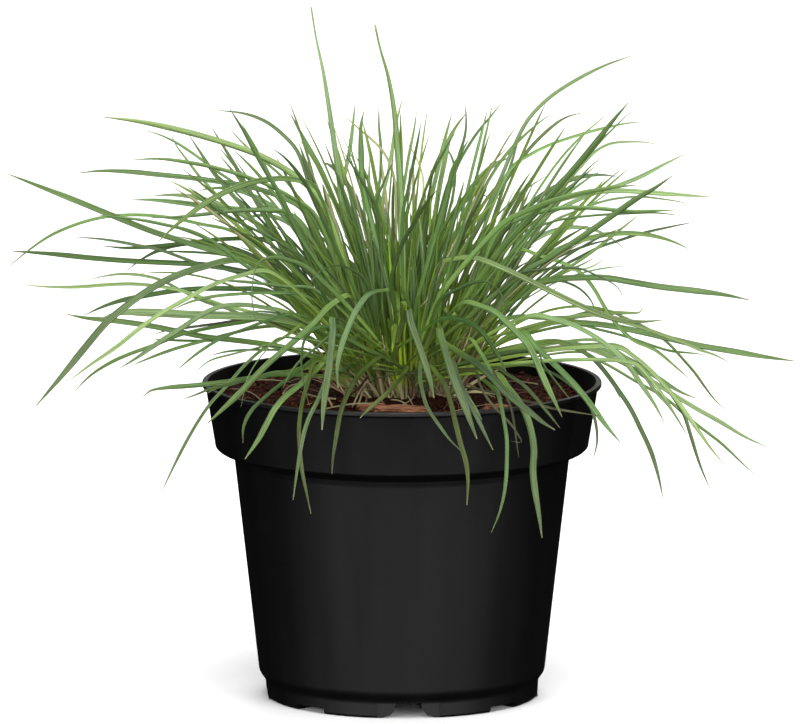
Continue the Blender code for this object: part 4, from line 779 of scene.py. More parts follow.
def add_bar(name, section, reach, turn):
    """A bar through the axis, whose section is given by its right half from the top down, in mm."""
    outline = list(section) + [(-half, height) for half, height in reversed(section)]
    bm = bmesh.new()
    ends = []
    for x in (-reach, reach):
        ends.append([bm.verts.new(Vector((x, half, height)) * MM) for half, height in outline])
    count = len(outline)
    for k in range(count):
        after = (k + 1) % count
        bm.faces.new((ends[0][k], ends[0][after], ends[1][after], ends[1][k]))
    for end in ends:
        bm.faces.new(end)
    bmesh.ops.rotate(bm, verts=bm.verts, matrix=Matrix.Rotation(BASE_TURN + turn, 3, "Z"))
    return add_cutter(name, bm)


def add_cross(name, section, reach):
    """Two bars that cross on the axis, joined in one."""
    along = add_bar(name, section, reach, 0.0)
    add_boolean(along, add_bar(name + "_arm", section, reach, math.pi / 2), "UNION")
    return along


def widened(section, wall, top, bottom):
    """The section with this much wall added all along, from this top down to this bottom."""
    outer = [(half + wall, height) for half, height in section[1:-1]]
    return ((section[0][0] + wall, top), *outer, (section[-1][0] + wall, bottom))


def add_blocks(name, width, levels, radii, turns):
    """Blocks at these turns round the axis, between these two levels and these two radii, in mm."""
    bm = bmesh.new()
    for turn in turns:
        for vert in bmesh.ops.create_cube(bm, size=1.0)["verts"]:
            outward = radii[vert.co.x > 0]
            side = vert.co.y * width
            x = outward * math.cos(turn) - side * math.sin(turn)
            y = outward * math.sin(turn) + side * math.cos(turn)
            vert.co = Vector((x, y, levels[vert.co.z > 0])) * MM
    return add_cutter(name, bm)


def add_notches(name, notch, turns):
    """The cutter for notches at these turns round the foot ring."""
    width, height, inner = notch
    return add_blocks(name, width, (NOTCH_FOOT, height), (inner, NOTCH_REACH), turns)


def add_roofs(name, wall, foot, reach):
    """Four blocks, this much wider and higher than the narrow notches, that hold their roofs."""
    width, height, inner = NARROW_NOTCH
    return add_blocks(name, width + 2 * wall, (foot, height + wall), (inner - wall, reach), NARROW_TURNS)


def add_drains(name):
    """Five round drain holes through the roof of the channels."""
    bm = bmesh.new()
    for x, y in DRAIN_PLACES:
        radius = DRAIN_RADIUS * MM
        sizes = {"segments": 12, "radius1": radius, "radius2": radius, "depth": DRAIN_DEPTH * MM}
        made = bmesh.ops.create_cone(bm, cap_ends=True, **sizes)["verts"]
        bmesh.ops.translate(bm, verts=made, vec=Vector((x, y, CHANNEL_SECTION[0][1])) * MM)
    bmesh.ops.rotate(bm, verts=bm.verts, matrix=Matrix.Rotation(BASE_TURN, 3, "Z"))
    return add_cutter(name, bm)


def hashed(number, salt):
    """A steady number from 0 to 1 for this leaf and purpose."""
    value = math.sin(number * 12.9898 + salt * 78.233) * 43758.5453
    return value - math.floor(value)


def spread(number, salt, low, high):
    """A steady number between these two for this leaf and purpose."""
    return low + (high - low) * hashed(number, salt)


# The sections of a blade and of a stem: how far across and how far up each point of a ring lies.
BLADE_ACROSS = np.array((-1.0, -0.5, 0.0, 0.5, 1.0, 0.5, 0.0, -0.5))
BLADE_SIDE = np.array((0.0, 1.0, 1.0, 1.0, 0.0, -1.0, -1.0, -1.0))
STEM_TURNS = np.arange(10) * math.tau / 10
STEM_FLATNESS = 0.75
STEM_RIBS = 0.12
# How much more a blade folds and thickens at its foot, and how far up the leaf. Its edges are thinner by
# this share, and it is thinner all over where it is narrower than this, in mm.
CLASP = 0.3
CLASP_REACH = 0.2
EDGE_THINNING = 0.6
FULL_WIDTH = 1.2
FOLD_POWER = 1.3
# How far a twisted blade's wave goes, in radians.
TWIST_REACH = 5.0


class Sheaf:
    """Gathers blades and stems into one mesh.

    Each corner has its place round and along its leaf, and each point its leaf's tint, with a number of
    the leaf's own as the tint's fourth value.
    """

    def __init__(self):
        self.points = []
        self.faces = []
        self.places = []
        self.tints = []
        self.count = 0

    def add_rings(self, points, along, tint):
        """A closed tube through rings of points."""
        rings, sides = points.shape[:2]
        ring = self.count + np.arange(rings - 1)[:, None] * sides
        k = np.arange(sides)[None, :]
        after = (k + 1) % sides
        quads = np.stack([ring + k, ring + after, ring + sides + after, ring + sides + k], axis=2)
        self.faces.extend(quads.reshape(-1, 4).tolist())
        grid = (rings - 1, sides)
        turns = 2 * np.arange(sides + 1) / sides
        left, right = (np.broadcast_to(part[None], grid) for part in (turns[:-1], turns[1:]))
        near, far = (np.broadcast_to(part[:, None], grid) for part in (along[:-1], along[1:]))
        pairs = ((left, near), (right, near), (right, far), (left, far))
        corners = [np.stack(pair, axis=2) for pair in pairs]
        self.places.append(np.stack(corners, axis=2).reshape(-1, 2))
        last = self.count + (rings - 1) * sides
        for start, end, order in ((self.count, along[0], -1), (last, along[-1], 1)):
            self.faces.append([start + i for i in range(sides)][::order])
            self.places.append(np.tile((0.5, end), (sides, 1)))
        self.points.append(points.reshape(-1, 3))
        self.tints.append(np.tile(tint, (rings * sides, 1)))
        self.count += rings * sides

    def add_blade(self, path, widths, along, tint, fold=LEAF_FOLD, thick=0.4, twist=0.0, phase=0.0):
        """A closed folded blade along the path. Along holds each ring's place on the leaf, from 0 to 1."""
        across, upper = blade_directions(path)
        turn = twist * np.sin(np.linspace(0.0, TWIST_REACH, len(path)) + phase)[:, None]
        across, upper = (
            np.cos(turn) * across + np.sin(turn) * upper,
            np.cos(turn) * upper - np.sin(turn) * across,
        )
        width = widths[:, None, None]
        u = BLADE_ACROSS[None, :, None]
        clasp = CLASP * np.clip(1 - along / CLASP_REACH, 0.0, 1.0)[:, None, None]
        folded = (fold + clasp) * width * np.abs(u) ** FOLD_POWER
        body = thick * MM * (1 + clasp) * (1 - EDGE_THINNING * np.abs(u))
        body = body * np.minimum(width / (FULL_WIDTH * MM), 1.0)
        lift = folded + BLADE_SIDE[None, :, None] * body / 2
        points = path[:, None] + across[:, None] * u * width / 2 + upper[:, None] * lift
        self.add_rings(points, along, tint)

    def add_stem(self, path, radii, along, tint):
        """A closed, slightly flattened and ribbed stem along the path."""
        across, upper = blade_directions(path)
        outward = radii[:, None, None] * (1 + STEM_RIBS * np.cos(3 * STEM_TURNS))[None, :, None]
        points = path[:, None] + across[:, None] * np.cos(STEM_TURNS)[None, :, None] * outward
        points = points + upper[:, None] * np.sin(STEM_TURNS)[None, :, None] * outward * STEM_FLATNESS
        self.add_rings(points, along, tint)

    def make(self, name, material):
        """What was gathered, as one object."""
        mesh = bpy.data.meshes.new(name)
        mesh.from_pydata(np.vstack(self.points).tolist(), [], self.faces)
        uv = mesh.uv_layers.new(name="leaf")
        uv.data.foreach_set("uv", np.vstack(self.places).astype(np.float32).ravel())
        tint = mesh.color_attributes.new("tint", "FLOAT_COLOR", "POINT")
        tint.data.foreach_set("color", np.vstack(self.tints).astype(np.float32).ravel())
        bm = bmesh.new()
        bm.from_mesh(mesh)
        bmesh.ops.recalc_face_normals(bm, faces=bm.faces)
        bm.to_mesh(mesh)
        bm.free()
        mesh.shade_smooth()
        return add_object(name, mesh, pieces, material)


class Nodes:
    """Short ways to add shader nodes to one material."""

    def __init__(self, name):
        self.material = bpy.data.materials.new(name)
        self.material.use_nodes = True
        self.tree = self.material.node_tree
        self.shader = self.tree.nodes["Principled BSDF"]
        self.output = self.tree.nodes["Material Output"]

    def set(self, socket, value):
        """Links another node's output to the socket, or sets its constant."""
        if isinstance(value, bpy.types.NodeSocket):
            self.tree.links.new(value, socket)
        else:
            socket.default_value = value

    def shade(self, **values):
        """Sets the shader's sockets, named with _ for spaces."""
        for name, value in values.items():
            self.set(self.shader.inputs[name.replace("_", " ")], value)

    def add(self, kind, output=0, inputs=(), **settings):
        """A node with these settings and inputs. Returns its output."""
        node = self.tree.nodes.new(kind)
        for key, value in settings.items():
            setattr(node, key, value)
        for key, value in dict(inputs).items():
            self.set(node.inputs[key], value)
        return node.outputs[output]

    def math(self, operation, *values):
        """The result of one operation on these values."""
        return self.add("ShaderNodeMath", 0, enumerate(values), operation=operation)

    def spans(self, value, low, high, first=0.0, last=1.0):
        """The value's part between low and high, spread from first to last."""
        inputs = {0: value, 1: low, 2: high, 3: first, 4: last}
        return self.add("ShaderNodeMapRange", 0, inputs, clamp=True)

    def mix(self, factor, a, b, blend="MIX"):
        """The first colour with this much of the second mixed or blended in."""
        inputs = {0: factor, 6: a, 7: b}
        return self.add("ShaderNodeMix", 2, inputs, data_type="RGBA", blend_type=blend)

    def ramp(self, factor, *stops):
        """A colour ramp. Each stop is a place and a colour."""
        node = self.tree.nodes.new("ShaderNodeValToRGB")
        self.set(node.inputs[0], factor)
        elements = node.color_ramp.elements
        while len(elements) < len(stops):
            elements.new(0.5)
        for element, (place, colour) in zip(elements, stops):
            element.position = place
            element.color = (*colour, 1.0)
        return node.outputs[0]

    def noise(self, vector, scale, detail=3.0, roughness=0.5):
        """Noise at this place, from 0 to 1."""
        inputs = {"Vector": vector, "Scale": scale, "Detail": detail, "Roughness": roughness}
        return self.add("ShaderNodeTexNoise", 0, inputs)

    def scaled(self, vector, scale):
        """The place with each of its parts times this scale's."""
        return self.add("ShaderNodeMapping", 0, {"Vector": vector, "Scale": scale})

    def bump(self, height, distance, strength=1.0, normal=None):
        """The normal of a surface that this height roughens, on top of another bump."""
        inputs = {"Height": height, "Distance": distance, "Strength": strength}
        if normal is not None:
            inputs["Normal"] = normal
        return self.add("ShaderNodeBump", 0, inputs)


# How far apart the noise of two leaves lies at most.
OWN_SPAN = 61.0


class LeafNodes(Nodes):
    """The nodes of a leaf's material, with its places and tint as the sheaf stores them."""

    def __init__(self, name):
        super().__init__(name)
        where = self.add("ShaderNodeSeparateXYZ", 0, {0: self.add("ShaderNodeUVMap", uv_map="leaf")}).node
        self.turn, self.along = where.outputs[0], where.outputs[1]
        tint = self.add("ShaderNodeVertexColor", layer_name="tint").node
        self.tint = tint.outputs[0]
        self.own = self.math("MULTIPLY", tint.outputs[1], OWN_SPAN)

    def drawn_out(self, across, length, detail, roughness=0.6):
        """Noise that is drawn out along the leaf and differs from leaf to leaf."""
        inputs = {
            0: self.math("MULTIPLY", self.turn, across),
            1: self.math("MULTIPLY", self.along, length),
            2: self.own,
        }
        return self.noise(self.add("ShaderNodeCombineXYZ", 0, inputs), 1.0, detail, roughness)


def times(factor, colour):
    """The colour, made this much lighter."""
    return tuple(factor * c for c in colour)


def opaque(colour, factor=1.0):
    """The colour times this factor, with a full fourth value."""
    return (*times(factor, colour), 1.0)


def blend(a, b, part):
    """The colour this part of the way from the first to the second."""
    return tuple((1 - part) * p + part * q for p, q in zip(a, b))


# Leaf colours: near the foot, in the sheath and at the dried point, the sheath and point of dry leaves, what
# the mottle and the underside tend to, and what light takes on that comes through.
YOUNG = (0.25, 0.38, 0.02)
BASE = (0.46, 0.44, 0.24)
TIP = (0.36, 0.33, 0.2)
DRY_BASE = (0.15, 0.085, 0.055)
DRY_TIP = (0.34, 0.28, 0.17)
MOTTLE = (0.34, 0.36, 0.24)
UNDERSIDE = (0.24, 0.29, 0.18)
THROUGH_TINT = (1.35, 1.4, 0.4, 1.0)
# Waves of the veins and of the finer ribs, in radians for each side of the blade.
VEIN_WAVES = 25.13
RIB_WAVES = 62.0


def leaf_material(kind, colour, young=YOUNG, base=BASE, tip=TIP, roughness=0.42, through=0.35, fresh=0.3):
    """A leaf: veined and streaked along its length, fresher and then pale at its foot, and dry at its point.

    Through is the share of light that comes through it, and fresh is how far up it is still young.
    """
    m = LeafNodes(kind + "_fine")
    streaks = m.drawn_out(9.0, 2.2, 4.0)
    patches = m.drawn_out(1.5, 9.0, 3.0)
    mottle = m.noise(m.add("ShaderNodeTexCoord", 3), 190.0, 4.0, 0.6)
    body = m.ramp(
        m.along,
        (0.0, base),
        (0.04, blend(base, young, 0.25)),
        (0.1, young),
        (fresh, blend(young, colour, 0.5)),
        (min(fresh + 0.22, 0.94), colour),
        (0.965, blend(colour, tip, 0.12)),
        (0.985, blend(colour, tip, 0.45)),
        (1.0, tip),
    )
    body = m.mix(1.0, body, m.tint, "MULTIPLY")
    veins = m.math("SINE", m.math("MULTIPLY", m.turn, VEIN_WAVES))
    streaked, patched = m.spans(streaks, 0.35, 0.65, 1.45, 0.5), m.spans(patches, 0.3, 0.7, 1.16, 0.82)
    shade = m.math("MULTIPLY", streaked, patched)
    shade = m.math("MULTIPLY", shade, m.spans(veins, -1.0, 1.0, 0.82, 1.18))
    grey = m.add("ShaderNodeCombineXYZ", 0, {0: shade, 1: shade, 2: shade})
    body = m.mix(1.0, body, grey, "MULTIPLY")
    body = m.mix(m.spans(mottle, 0.58, 0.8, 0.0, 0.3), body, opaque(blend(colour, MOTTLE, 0.5)))
    under = m.math("MULTIPLY", m.math("GREATER_THAN", m.turn, 1.0), 0.3)
    body = m.mix(under, body, opaque(blend(colour, UNDERSIDE, 0.6), 0.95))
    ribs = m.math("SINE", m.math("MULTIPLY", m.turn, RIB_WAVES))
    m.shade(
        Base_Color=body,
        Roughness=m.spans(mottle, 0.3, 0.7, roughness - 0.06, roughness + 0.1),
        Specular_IOR_Level=0.35,
        Normal=m.bump(ribs, 0.00005, 0.6, m.bump(streaks, 0.0002, 0.5)),
    )
    light = m.mix(1.0, body, THROUGH_TINT, "MULTIPLY")
    glow = m.add("ShaderNodeBsdfTranslucent", 0, {"Color": light})
    both = m.add("ShaderNodeMixShader", 0, {0: through, 1: m.shader.outputs[0], 2: glow})
    m.set(m.output.inputs["Surface"], both)
    m.material.diffuse_color = opaque(colour)
    return m.material


def pot_material():
    """Black moulded polypropylene: satin, and faintly streaked where it was drawn from its mould."""
    m = Nodes("pot_plastic_fine")
    place = m.add("ShaderNodeTexCoord", 3)
    fine = m.noise(place, 900.0, 3.0)
    bands = m.noise(m.scaled(place, (60.0, 60.0, 2.0)), 1.0, 3.0)
    dust = m.noise(place, 60.0, 6.0, 0.65)
    dusty = m.spans(dust, 0.56, 0.8, 0.0, 0.4)
    m.shade(
        Base_Color=m.mix(dusty, (0.0012, 0.0012, 0.0013, 1.0), (0.004, 0.0037, 0.0034, 1.0)),
        Roughness=m.spans(bands, 0.3, 0.7, 0.44, 0.52),
        Specular_IOR_Level=0.38,
        Normal=m.bump(fine, 0.00003, 0.5, m.bump(bands, 0.0003, 0.3)),
    )
    return m.material


SOIL_TONES = (
    (0.3, (0.002, 0.0006, 0.0004)),
    (0.5, (0.012, 0.003, 0.0014)),
    (0.6, (0.07, 0.017, 0.008)),
    (0.72, (0.26, 0.09, 0.045)),
)


def soil_material(name, lift=1.0):
    """Dark red-brown peat, with paler fibres and specks, made this much lighter."""
    m = Nodes(name)
    place = m.add("ShaderNodeTexCoord", 3)
    grain = m.noise(place, 420.0, 5.0, 0.65)
    clump = m.noise(place, 110.0, 4.0)
    colour = m.ramp(grain, *((at, times(lift, tone)) for at, tone in SOIL_TONES))
    colour = m.mix(m.math("MULTIPLY", clump, 0.5), colour, (0.006, 0.0017, 0.001, 1.0))
    m.shade(Base_Color=colour, Roughness=0.92, Specular_IOR_Level=0.06, Normal=m.bump(grain, 0.0008, 0.9))
    return m.material


def bark_material():
    """Orange-brown bark, split along its grain."""
    m = Nodes("bark_fine")
    place = m.add("ShaderNodeTexCoord", 3)
    grain = m.noise(m.scaled(place, (120.0, 700.0, 700.0)), 1.0, 5.0, 0.6)
    patch = m.noise(place, 220.0, 3.0)
    colour = m.ramp(grain, (0.3, (0.05, 0.016, 0.007)), (0.5, (0.2, 0.07, 0.028)), (0.7, (0.4, 0.18, 0.085)))
    colour = m.mix(m.math("MULTIPLY", patch, 0.5), colour, (0.1, 0.034, 0.014, 1.0))
    m.shade(Base_Color=colour, Roughness=0.88, Normal=m.bump(grain, 0.0005, 0.8))
    return m.material


def husk_material():
    """Dry sheaths and straw: dull, fibrous, and each its own shade from purple-brown to pale straw."""
    m = LeafNodes("husk_fine")
    fibres = m.drawn_out(14.0, 2.0, 4.0, 0.65)
    colour = m.mix(m.spans(fibres, 0.45, 0.7, 0.0, 0.75), m.tint, (0.03, 0.014, 0.01, 1.0))
    colour = m.mix(m.spans(fibres, 0.42, 0.2, 0.0, 0.5), colour, (0.3, 0.24, 0.15, 1.0))
    m.shade(Base_Color=colour, Roughness=0.8, Specular_IOR_Level=0.2, Normal=m.bump(fibres, 0.0003, 0.8))
    return m.material


MATERIALS = {
    GREEN: leaf_material(GREEN, (0.163, 0.292, 0.085)),
    LIGHT: leaf_material(LIGHT, (0.245, 0.36, 0.147)),
    BLUE: leaf_material(BLUE, (0.088, 0.15, 0.049)),
    DARK: leaf_material(DARK, (0.08, 0.17, 0.036), (0.2, 0.34, 0.03)),
    YELLOW: leaf_material(YELLOW, (0.06, 0.09, 0.012), (0.16, 0.25, 0.03)),
    TAN: leaf_material(TAN, (0.33, 0.34, 0.15), (0.22, 0.22, 0.09), DRY_BASE, DRY_TIP, 0.6, 0.15),
    FRESH: leaf_material(FRESH, (0.19, 0.3, 0.05), (0.44, 0.53, 0.02), through=0.5, fresh=0.24),
    HUSK: husk_material(),
}
# The blades and stems that stand on the crown, gathered by kind.
crowd = {kind: Sheaf() for kind in MATERIALS}


# The leaves that stand out in the photograph as lighter or darker than the others of their kind, and the
# brightness they take: partly their own tone, partly painted light on the lighter ones and painted shade on
# the darker ones.
LIGHTER_AND_LIT_LEAVES = (2, 4, 15, 23, 36, 41, 159, 163, 165, 174, 179)
DARKER_AND_SHADED_LEAVES = (3, 6, 8, 13, 14, 16, 17, 18, 27, 30, 31, 39, 40, 45, 105, 106, 123, 125, 186, 187)
LIGHTER_AND_LIT = 1.35
DARKER_AND_SHADED = 0.76
# Shades of dry sheaths, and how light dry leaves and straws are. The fresh shoots in front are made lighter
# by painted light.
DULL_BROWN = (0.3, 0.19, 0.11)
PURPLE_BROWN = (0.17, 0.08, 0.055)
PALE_STRAW = (0.48, 0.42, 0.22)
DRY_SHADE = 0.2
STRAW_SHADE = 0.55
SHOOT_PAINTED_LIGHT = 1.6


def leaf_tint(number):
    """A small change of brightness and hue for each leaf, and a number of its own."""
    light = spread(number, 1, 0.87, 1.22)
    # The listed leaves take a set brightness: partly their own tone, and partly painted light on the lighter
    # ones and painted shade on the darker ones.
    if number in LIGHTER_AND_LIT_LEAVES:
        light = LIGHTER_AND_LIT
    if number in DARKER_AND_SHADED_LEAVES:
        light = DARKER_AND_SHADED
    warm = spread(number, 2, -0.06, 0.05)
    return (light * (1 + warm), light, light * (1 - warm), hashed(number, 12))


def husk_tint(number, strength=1.0):
    """A shade of dry sheath: half are pale straw, and the others dull brown or purple-brown.

    The fourth value is a number of its own.
    """
    kind = hashed(number, 31)
    shade = DULL_BROWN
    if kind < 0.25:
        shade = PURPLE_BROWN
    if kind > 0.5:
        shade = PALE_STRAW
    light = strength * spread(number, 32, 0.75, 1.25)
    return (*times(light, shade), hashed(number, 33))


def shaded(tint, factor):
    """The leaf's tint, made this much lighter, with the same number of its own."""
    return (*times(factor, tint[:3]), tint[3])


def settle(obj, slot, *nodes):
    """The piece rides on the root body and stands for these nodes. The slot is not used."""
    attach(obj, "root")
    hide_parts(*nodes)


# A fine blade's share of its width at its foot, and how far up the leaf it reaches its full width. Its
# point's reach back from the tip and share of the width at the tip, if it is short or long.
FOOT_SHARE = 0.36
FOOT_REACH = 0.32
SHORT_POINT = (0.14, 0.15)
LONG_POINT = (0.45, 0.3)
# The leaves with a long point, by number.
LONG_POINTED = (1, 2)


def fine_widths(count, width, ending=SHORT_POINT):
    """The blade's width along the whole leaf: narrow in its sheath, then even, with a point."""
    part = np.linspace(0.0, 1.0, count)
    sheath = FOOT_SHARE + (1 - FOOT_SHARE) * np.clip(part / FOOT_REACH, 0.0, 1.0)
    reach, least = ending
    point = np.clip((1.0 - part) / reach, 0.0, 1.0) ** 0.65
    return np.maximum(width * MM * sheath * point, least * width * MM)


ALONG = np.linspace(0.0, 1.0, PATH_SAMPLES)
# A foot in front is drawn in to this far behind the axis, in mm, but for this share of its own depth.
DRAWN_IN_TO = 6.0
DRAWN_IN_SHARE = 0.3
# How far leaves that share a foot near the middle are spread to the sides, in mm.
FOOT_ASIDE = 18.0


def drawn_in(foot, number=None):
    """The foot, nearer to the pot's axis if it lies in front of it: the clump grows a little behind it.

    With a leaf's number, leaves that share a foot near the middle are spread out to the sides.
    """
    aside = 0.0
    if number is not None:
        near_middle = max(1 - abs(foot[0]) / (TILLER_SPREAD * MM), 0.0)
        aside = spread(number, 4, -FOOT_ASIDE, FOOT_ASIDE) * MM * near_middle
    return np.array((foot[0] + aside, max(foot[1], DRAWN_IN_TO * MM + DRAWN_IN_SHARE * foot[1]), foot[2]))


def whole_leaf(number, path_of, width, segments, placed, margin):
    """The leaf's whole path and its first point outside the crown.

    It is placed as the CAD places it, and then its foot is drawn in.
    """
    path, start = placed_leaf(path_of, width, segments, placed, margin)
    bent = start if margin > 0 else PATH_SAMPLES // 3
    near_foot = np.clip(1 - np.arange(len(path)) / bent, 0.0, 1.0) ** 0.9
    return path + near_foot[:, None] * (drawn_in(path[0], number) - path[0]), start


def build_long_leaves(placed):
    """A fine blade in place of each long leaf. The part inside the crown goes with the crown's stems."""
    number = 0
    for prefix, digits, rows in (("leaf", 2, LONG_LEAVES), ("dry_leaf", 1, DRY_LEAVES)):
        for order, row in enumerate(rows, 1):
            number += 1
            width, kind = row[:2]
            path_of = partial(leaf_path, row, number)
            path, start = whole_leaf(number, path_of, width, LONG_LEAF_SEGMENTS, placed, 2 * GAP)
            ending = LONG_POINT if number in LONG_POINTED else SHORT_POINT
            widths = fine_widths(PATH_SAMPLES, width, ending)
            tint = leaf_tint(number)
            if rows is DRY_LEAVES:
                tint = shaded(tint, DRY_SHADE)
            blade = Sheaf()
            blade.add_blade(path[start:], widths[start:], ALONG[start:], tint)
            node = f"{prefix}_{order:0{digits}d}"
            settle(blade.make(node + "_fine", MATERIALS[kind]), kind, node)
            crowd[kind].add_blade(path[: start + 1], widths[: start + 1], ALONG[: start + 1], tint)


def add_tuft_leaf(number, path_of, width, segments, kind, placed):
    """A leaf of the crown, which clears the long leaves but not the others of its own sort."""
    path, _ = whole_leaf(number, path_of, width, segments, list(placed), TUFT_MARGIN * MM)
    crowd[kind].add_blade(path, fine_widths(PATH_SAMPLES, width), ALONG, leaf_tint(number))


def build_tuft(placed):
    """The shorter leaves that were read from the photograph, and those behind."""
    for number, row in enumerate(TUFT_LEAVES, TUFT_NUMBERS):
        segments = TUFT_LEAF_SEGMENTS - (row[0] < THIN_TUFT_LEAF)
        add_tuft_leaf(number, partial(leaf_path, row, number), row[0], segments, row[1], placed)
    for number, row in enumerate(FAR_LEAVES, FAR_NUMBERS):
        kind = (GREEN, BLUE, LIGHT)[number % 3]
        path_of = partial(far_leaf_path, *row)
        add_tuft_leaf(number, path_of, FAR_LEAF_WIDTH, TUFT_LEAF_SEGMENTS, kind, placed)


STEM_SAMPLES = 9
FILL_SAMPLES = 26
SHEATH_SAMPLES = 12
SHOOT_SAMPLES = 24
STRAW_SAMPLES = 20
SCATTER_SAMPLES = 12
# How many stems each tiller's bunch has, how far they fan in degrees, and how many sheaths lie round them.
STEMS = 4
STEM_FAN = 8
SHEATHS = 5
# The share of each kind among the inner leaves, added up: in the heart of the crown, and round it.
HEART_KINDS = ((0.74, FRESH), (0.84, GREEN), (0.9, LIGHT), (0.95, DARK), (1.0, TAN))
FILL_KINDS = ((0.4, FRESH), (0.62, GREEN), (0.74, DARK), (0.86, LIGHT), (0.95, BLUE), (1.0, TAN))
# How far from the axis the heart reaches, as a share of the tillers' spread, and how much of their lean its
# bunches keep.
HEART_REACH = 0.6
HEART_LEAN = 0.6
# Bunches that show in front: the column and row of each foot, how many stems it has and how far they fan.
FRONT_BUNCHES = (
    (403, 398, 3, 10),
    (388, 397, 3, 8),
    (376, 395, 3, 10),
    (360, 391, 4, 12),
    (347, 386, 3, 12),
    (440, 391, 4, 12),
    (458, 387, 4, 12),
)
MOST_BUNCH_LEAN = math.radians(26)
# The places on a stem, by sample, that inner leaves leave it at, and room in the count for those leaves.
LEAF_PLACES = (2, 4)
STEM_ROOM = 4
# How much less a leaf that comes to the front droops, and how much shorter and more upright it is.
FRONT_STIFFNESS = 0.6
FRONT_CUT = 0.35


def readings(count, places, values):
    """Evenly spaced readings, from 0 to 1, of the line through these values at these places."""
    return np.interp(np.linspace(0.0, 1.0, count), places, values)


def direction(bearing, lean, own, slant):
    """The bearing and lean of a shoot that slants off its bunch's own direction."""
    east = math.sin(lean) * math.cos(bearing) + math.sin(slant) * math.cos(own)
    north = math.sin(lean) * math.sin(bearing) + math.sin(slant) * math.sin(own)
    return math.atan2(north, east), math.asin(min(math.hypot(east, north), 0.92))


def build_bunches():
    """Each bunch: thin stems, the inner leaves that fan out of them, and dry sheaths round its foot."""
    bunches = []
    for column, row, stems, fan in FRONT_BUNCHES:
        bunches.append((on_peat(column, row, 0.0), stems, fan, HEART_KINDS))
    for number in range(TILLERS):
        foot = tiller_foot(number)
        heart = math.hypot(foot[0], foot[1]) < HEART_REACH * TILLER_SPREAD * MM
        bunches.append((foot, STEMS, STEM_FAN, HEART_KINDS if heart else FILL_KINDS))
    for number, (foot, stems, fan, kinds) in enumerate(bunches):
        lean = min(math.acos(tiller_axis(foot)[2]), MOST_BUNCH_LEAN)
        if kinds is HEART_KINDS:
            lean *= HEART_LEAN
        bearing = math.atan2(foot[1], foot[0])
        if number >= len(FRONT_BUNCHES):
            foot = drawn_in(foot)
        for stem in range(stems):
            add_stem_and_leaves(number * BUNCH_ROOM + stem, foot, bearing, lean, fan, kinds)
        for sheath in range(SHEATHS):
            add_sheath(number * BUNCH_ROOM + sheath, foot, bearing, lean)


def add_stem_and_leaves(number, foot, bearing, lean, fan, kinds):
    """One thin stem, pale at its foot, and the inner leaves that leave it."""
    own = number * GOLDEN_TURN
    start = foot + np.array((math.cos(own), math.sin(own), -1.0)) * spread(number, 41, 0.3, 2.2) * MM
    slant = math.radians(spread(number, 42, 0.1, 1.0) * fan)
    stem_bearing, stem_lean = direction(bearing, lean, own, slant)
    path = arc(start, stem_bearing, stem_lean, 0.12, spread(number, 43, 26.0, 52.0), STEM_SAMPLES)
    taper = readings(STEM_SAMPLES, (0.0, 0.2, 0.7, 1.0), (1.2, 1.0, 0.55, 0.12))
    radii = spread(number, 44, 0.6, 1.0) * MM * taper
    along = np.linspace(0.0, spread(number, 45, 0.13, 0.2), STEM_SAMPLES)
    crowd[FRESH].add_stem(path, radii, along, leaf_tint(STEM_NUMBERS + number))
    for order, place in enumerate(LEAF_PLACES):
        add_fill_leaf(number * STEM_ROOM + order, path[place], stem_bearing, stem_lean, kinds)


def add_fill_leaf(number, start, bearing, lean, kinds):
    """An inner leaf, which starts within its stem and leaves it at its own slant."""
    slant = math.radians(spread(number, 51, 1.0, 12.0))
    own_bearing, own_lean = direction(bearing, lean, number * GOLDEN_TURN, slant)
    front = max(-math.sin(own_bearing), 0.0) ** 2 * min(own_lean / 0.4, 1.0)
    droop = math.radians(spread(number, 52, 8.0, 60.0)) * (0.5 + own_lean) * (1 - FRONT_STIFFNESS * front)
    length = spread(number, 53, 58.0, 130.0) * (1 - FRONT_CUT * front)
    swing = spread(number, 54, -0.3, 0.3)
    path = arc(start, own_bearing, own_lean * (1 - FRONT_CUT * front), droop, length, FILL_SAMPLES, swing)
    share = hashed(number, 55)
    kind = next(kind for limit, kind in kinds if share <= limit)
    along = np.linspace(0.1, 1.0, FILL_SAMPLES)
    widths = fine_widths(FILL_SAMPLES, spread(number, 56, 0.8, 1.9))
    light = spread(number, 58, 0.7, 1.3)
    tint = (*times(light, leaf_tint(FILL_NUMBERS + number)[:3]), hashed(number, 59))
    crowd[kind].add_blade(path, widths, along, tint, twist=0.25, phase=6 * hashed(number, 57))


def add_sheath(number, foot, bearing, lean):
    """A dry sheath or its frayed rest, which clasps the foot of its bunch or peels away from it."""
    own = bearing + spread(number, 61, -1.9, 1.9)
    start = foot + np.array((math.cos(own), math.sin(own), -0.3)) * spread(number, 62, 1.6, 3.8) * MM
    peels = hashed(number, 68) ** 3
    sheath_bearing, sheath_lean = direction(bearing, lean, own, 0.08 + 0.6 * peels)
    length = spread(number, 63, 12.0, 42.0) * (1 - 0.5 * peels)
    droop = (1.2 * peels - 0.1) * hashed(number, 65)
    path = arc(start, sheath_bearing, sheath_lean, droop, length, SHEATH_SAMPLES)
    widths = readings(SHEATH_SAMPLES, (0.0, 0.6, 1.0), (1.0, 0.75, 0.2)) * spread(number, 66, 0.7, 1.9) * MM
    along = np.linspace(0.0, 1.0, SHEATH_SAMPLES)
    shape = {"fold": 0.3, "thick": 0.25, "twist": 0.5, "phase": 6 * hashed(number, 67)}
    crowd[HUSK].add_blade(path, widths, along, husk_tint(number), **shape)


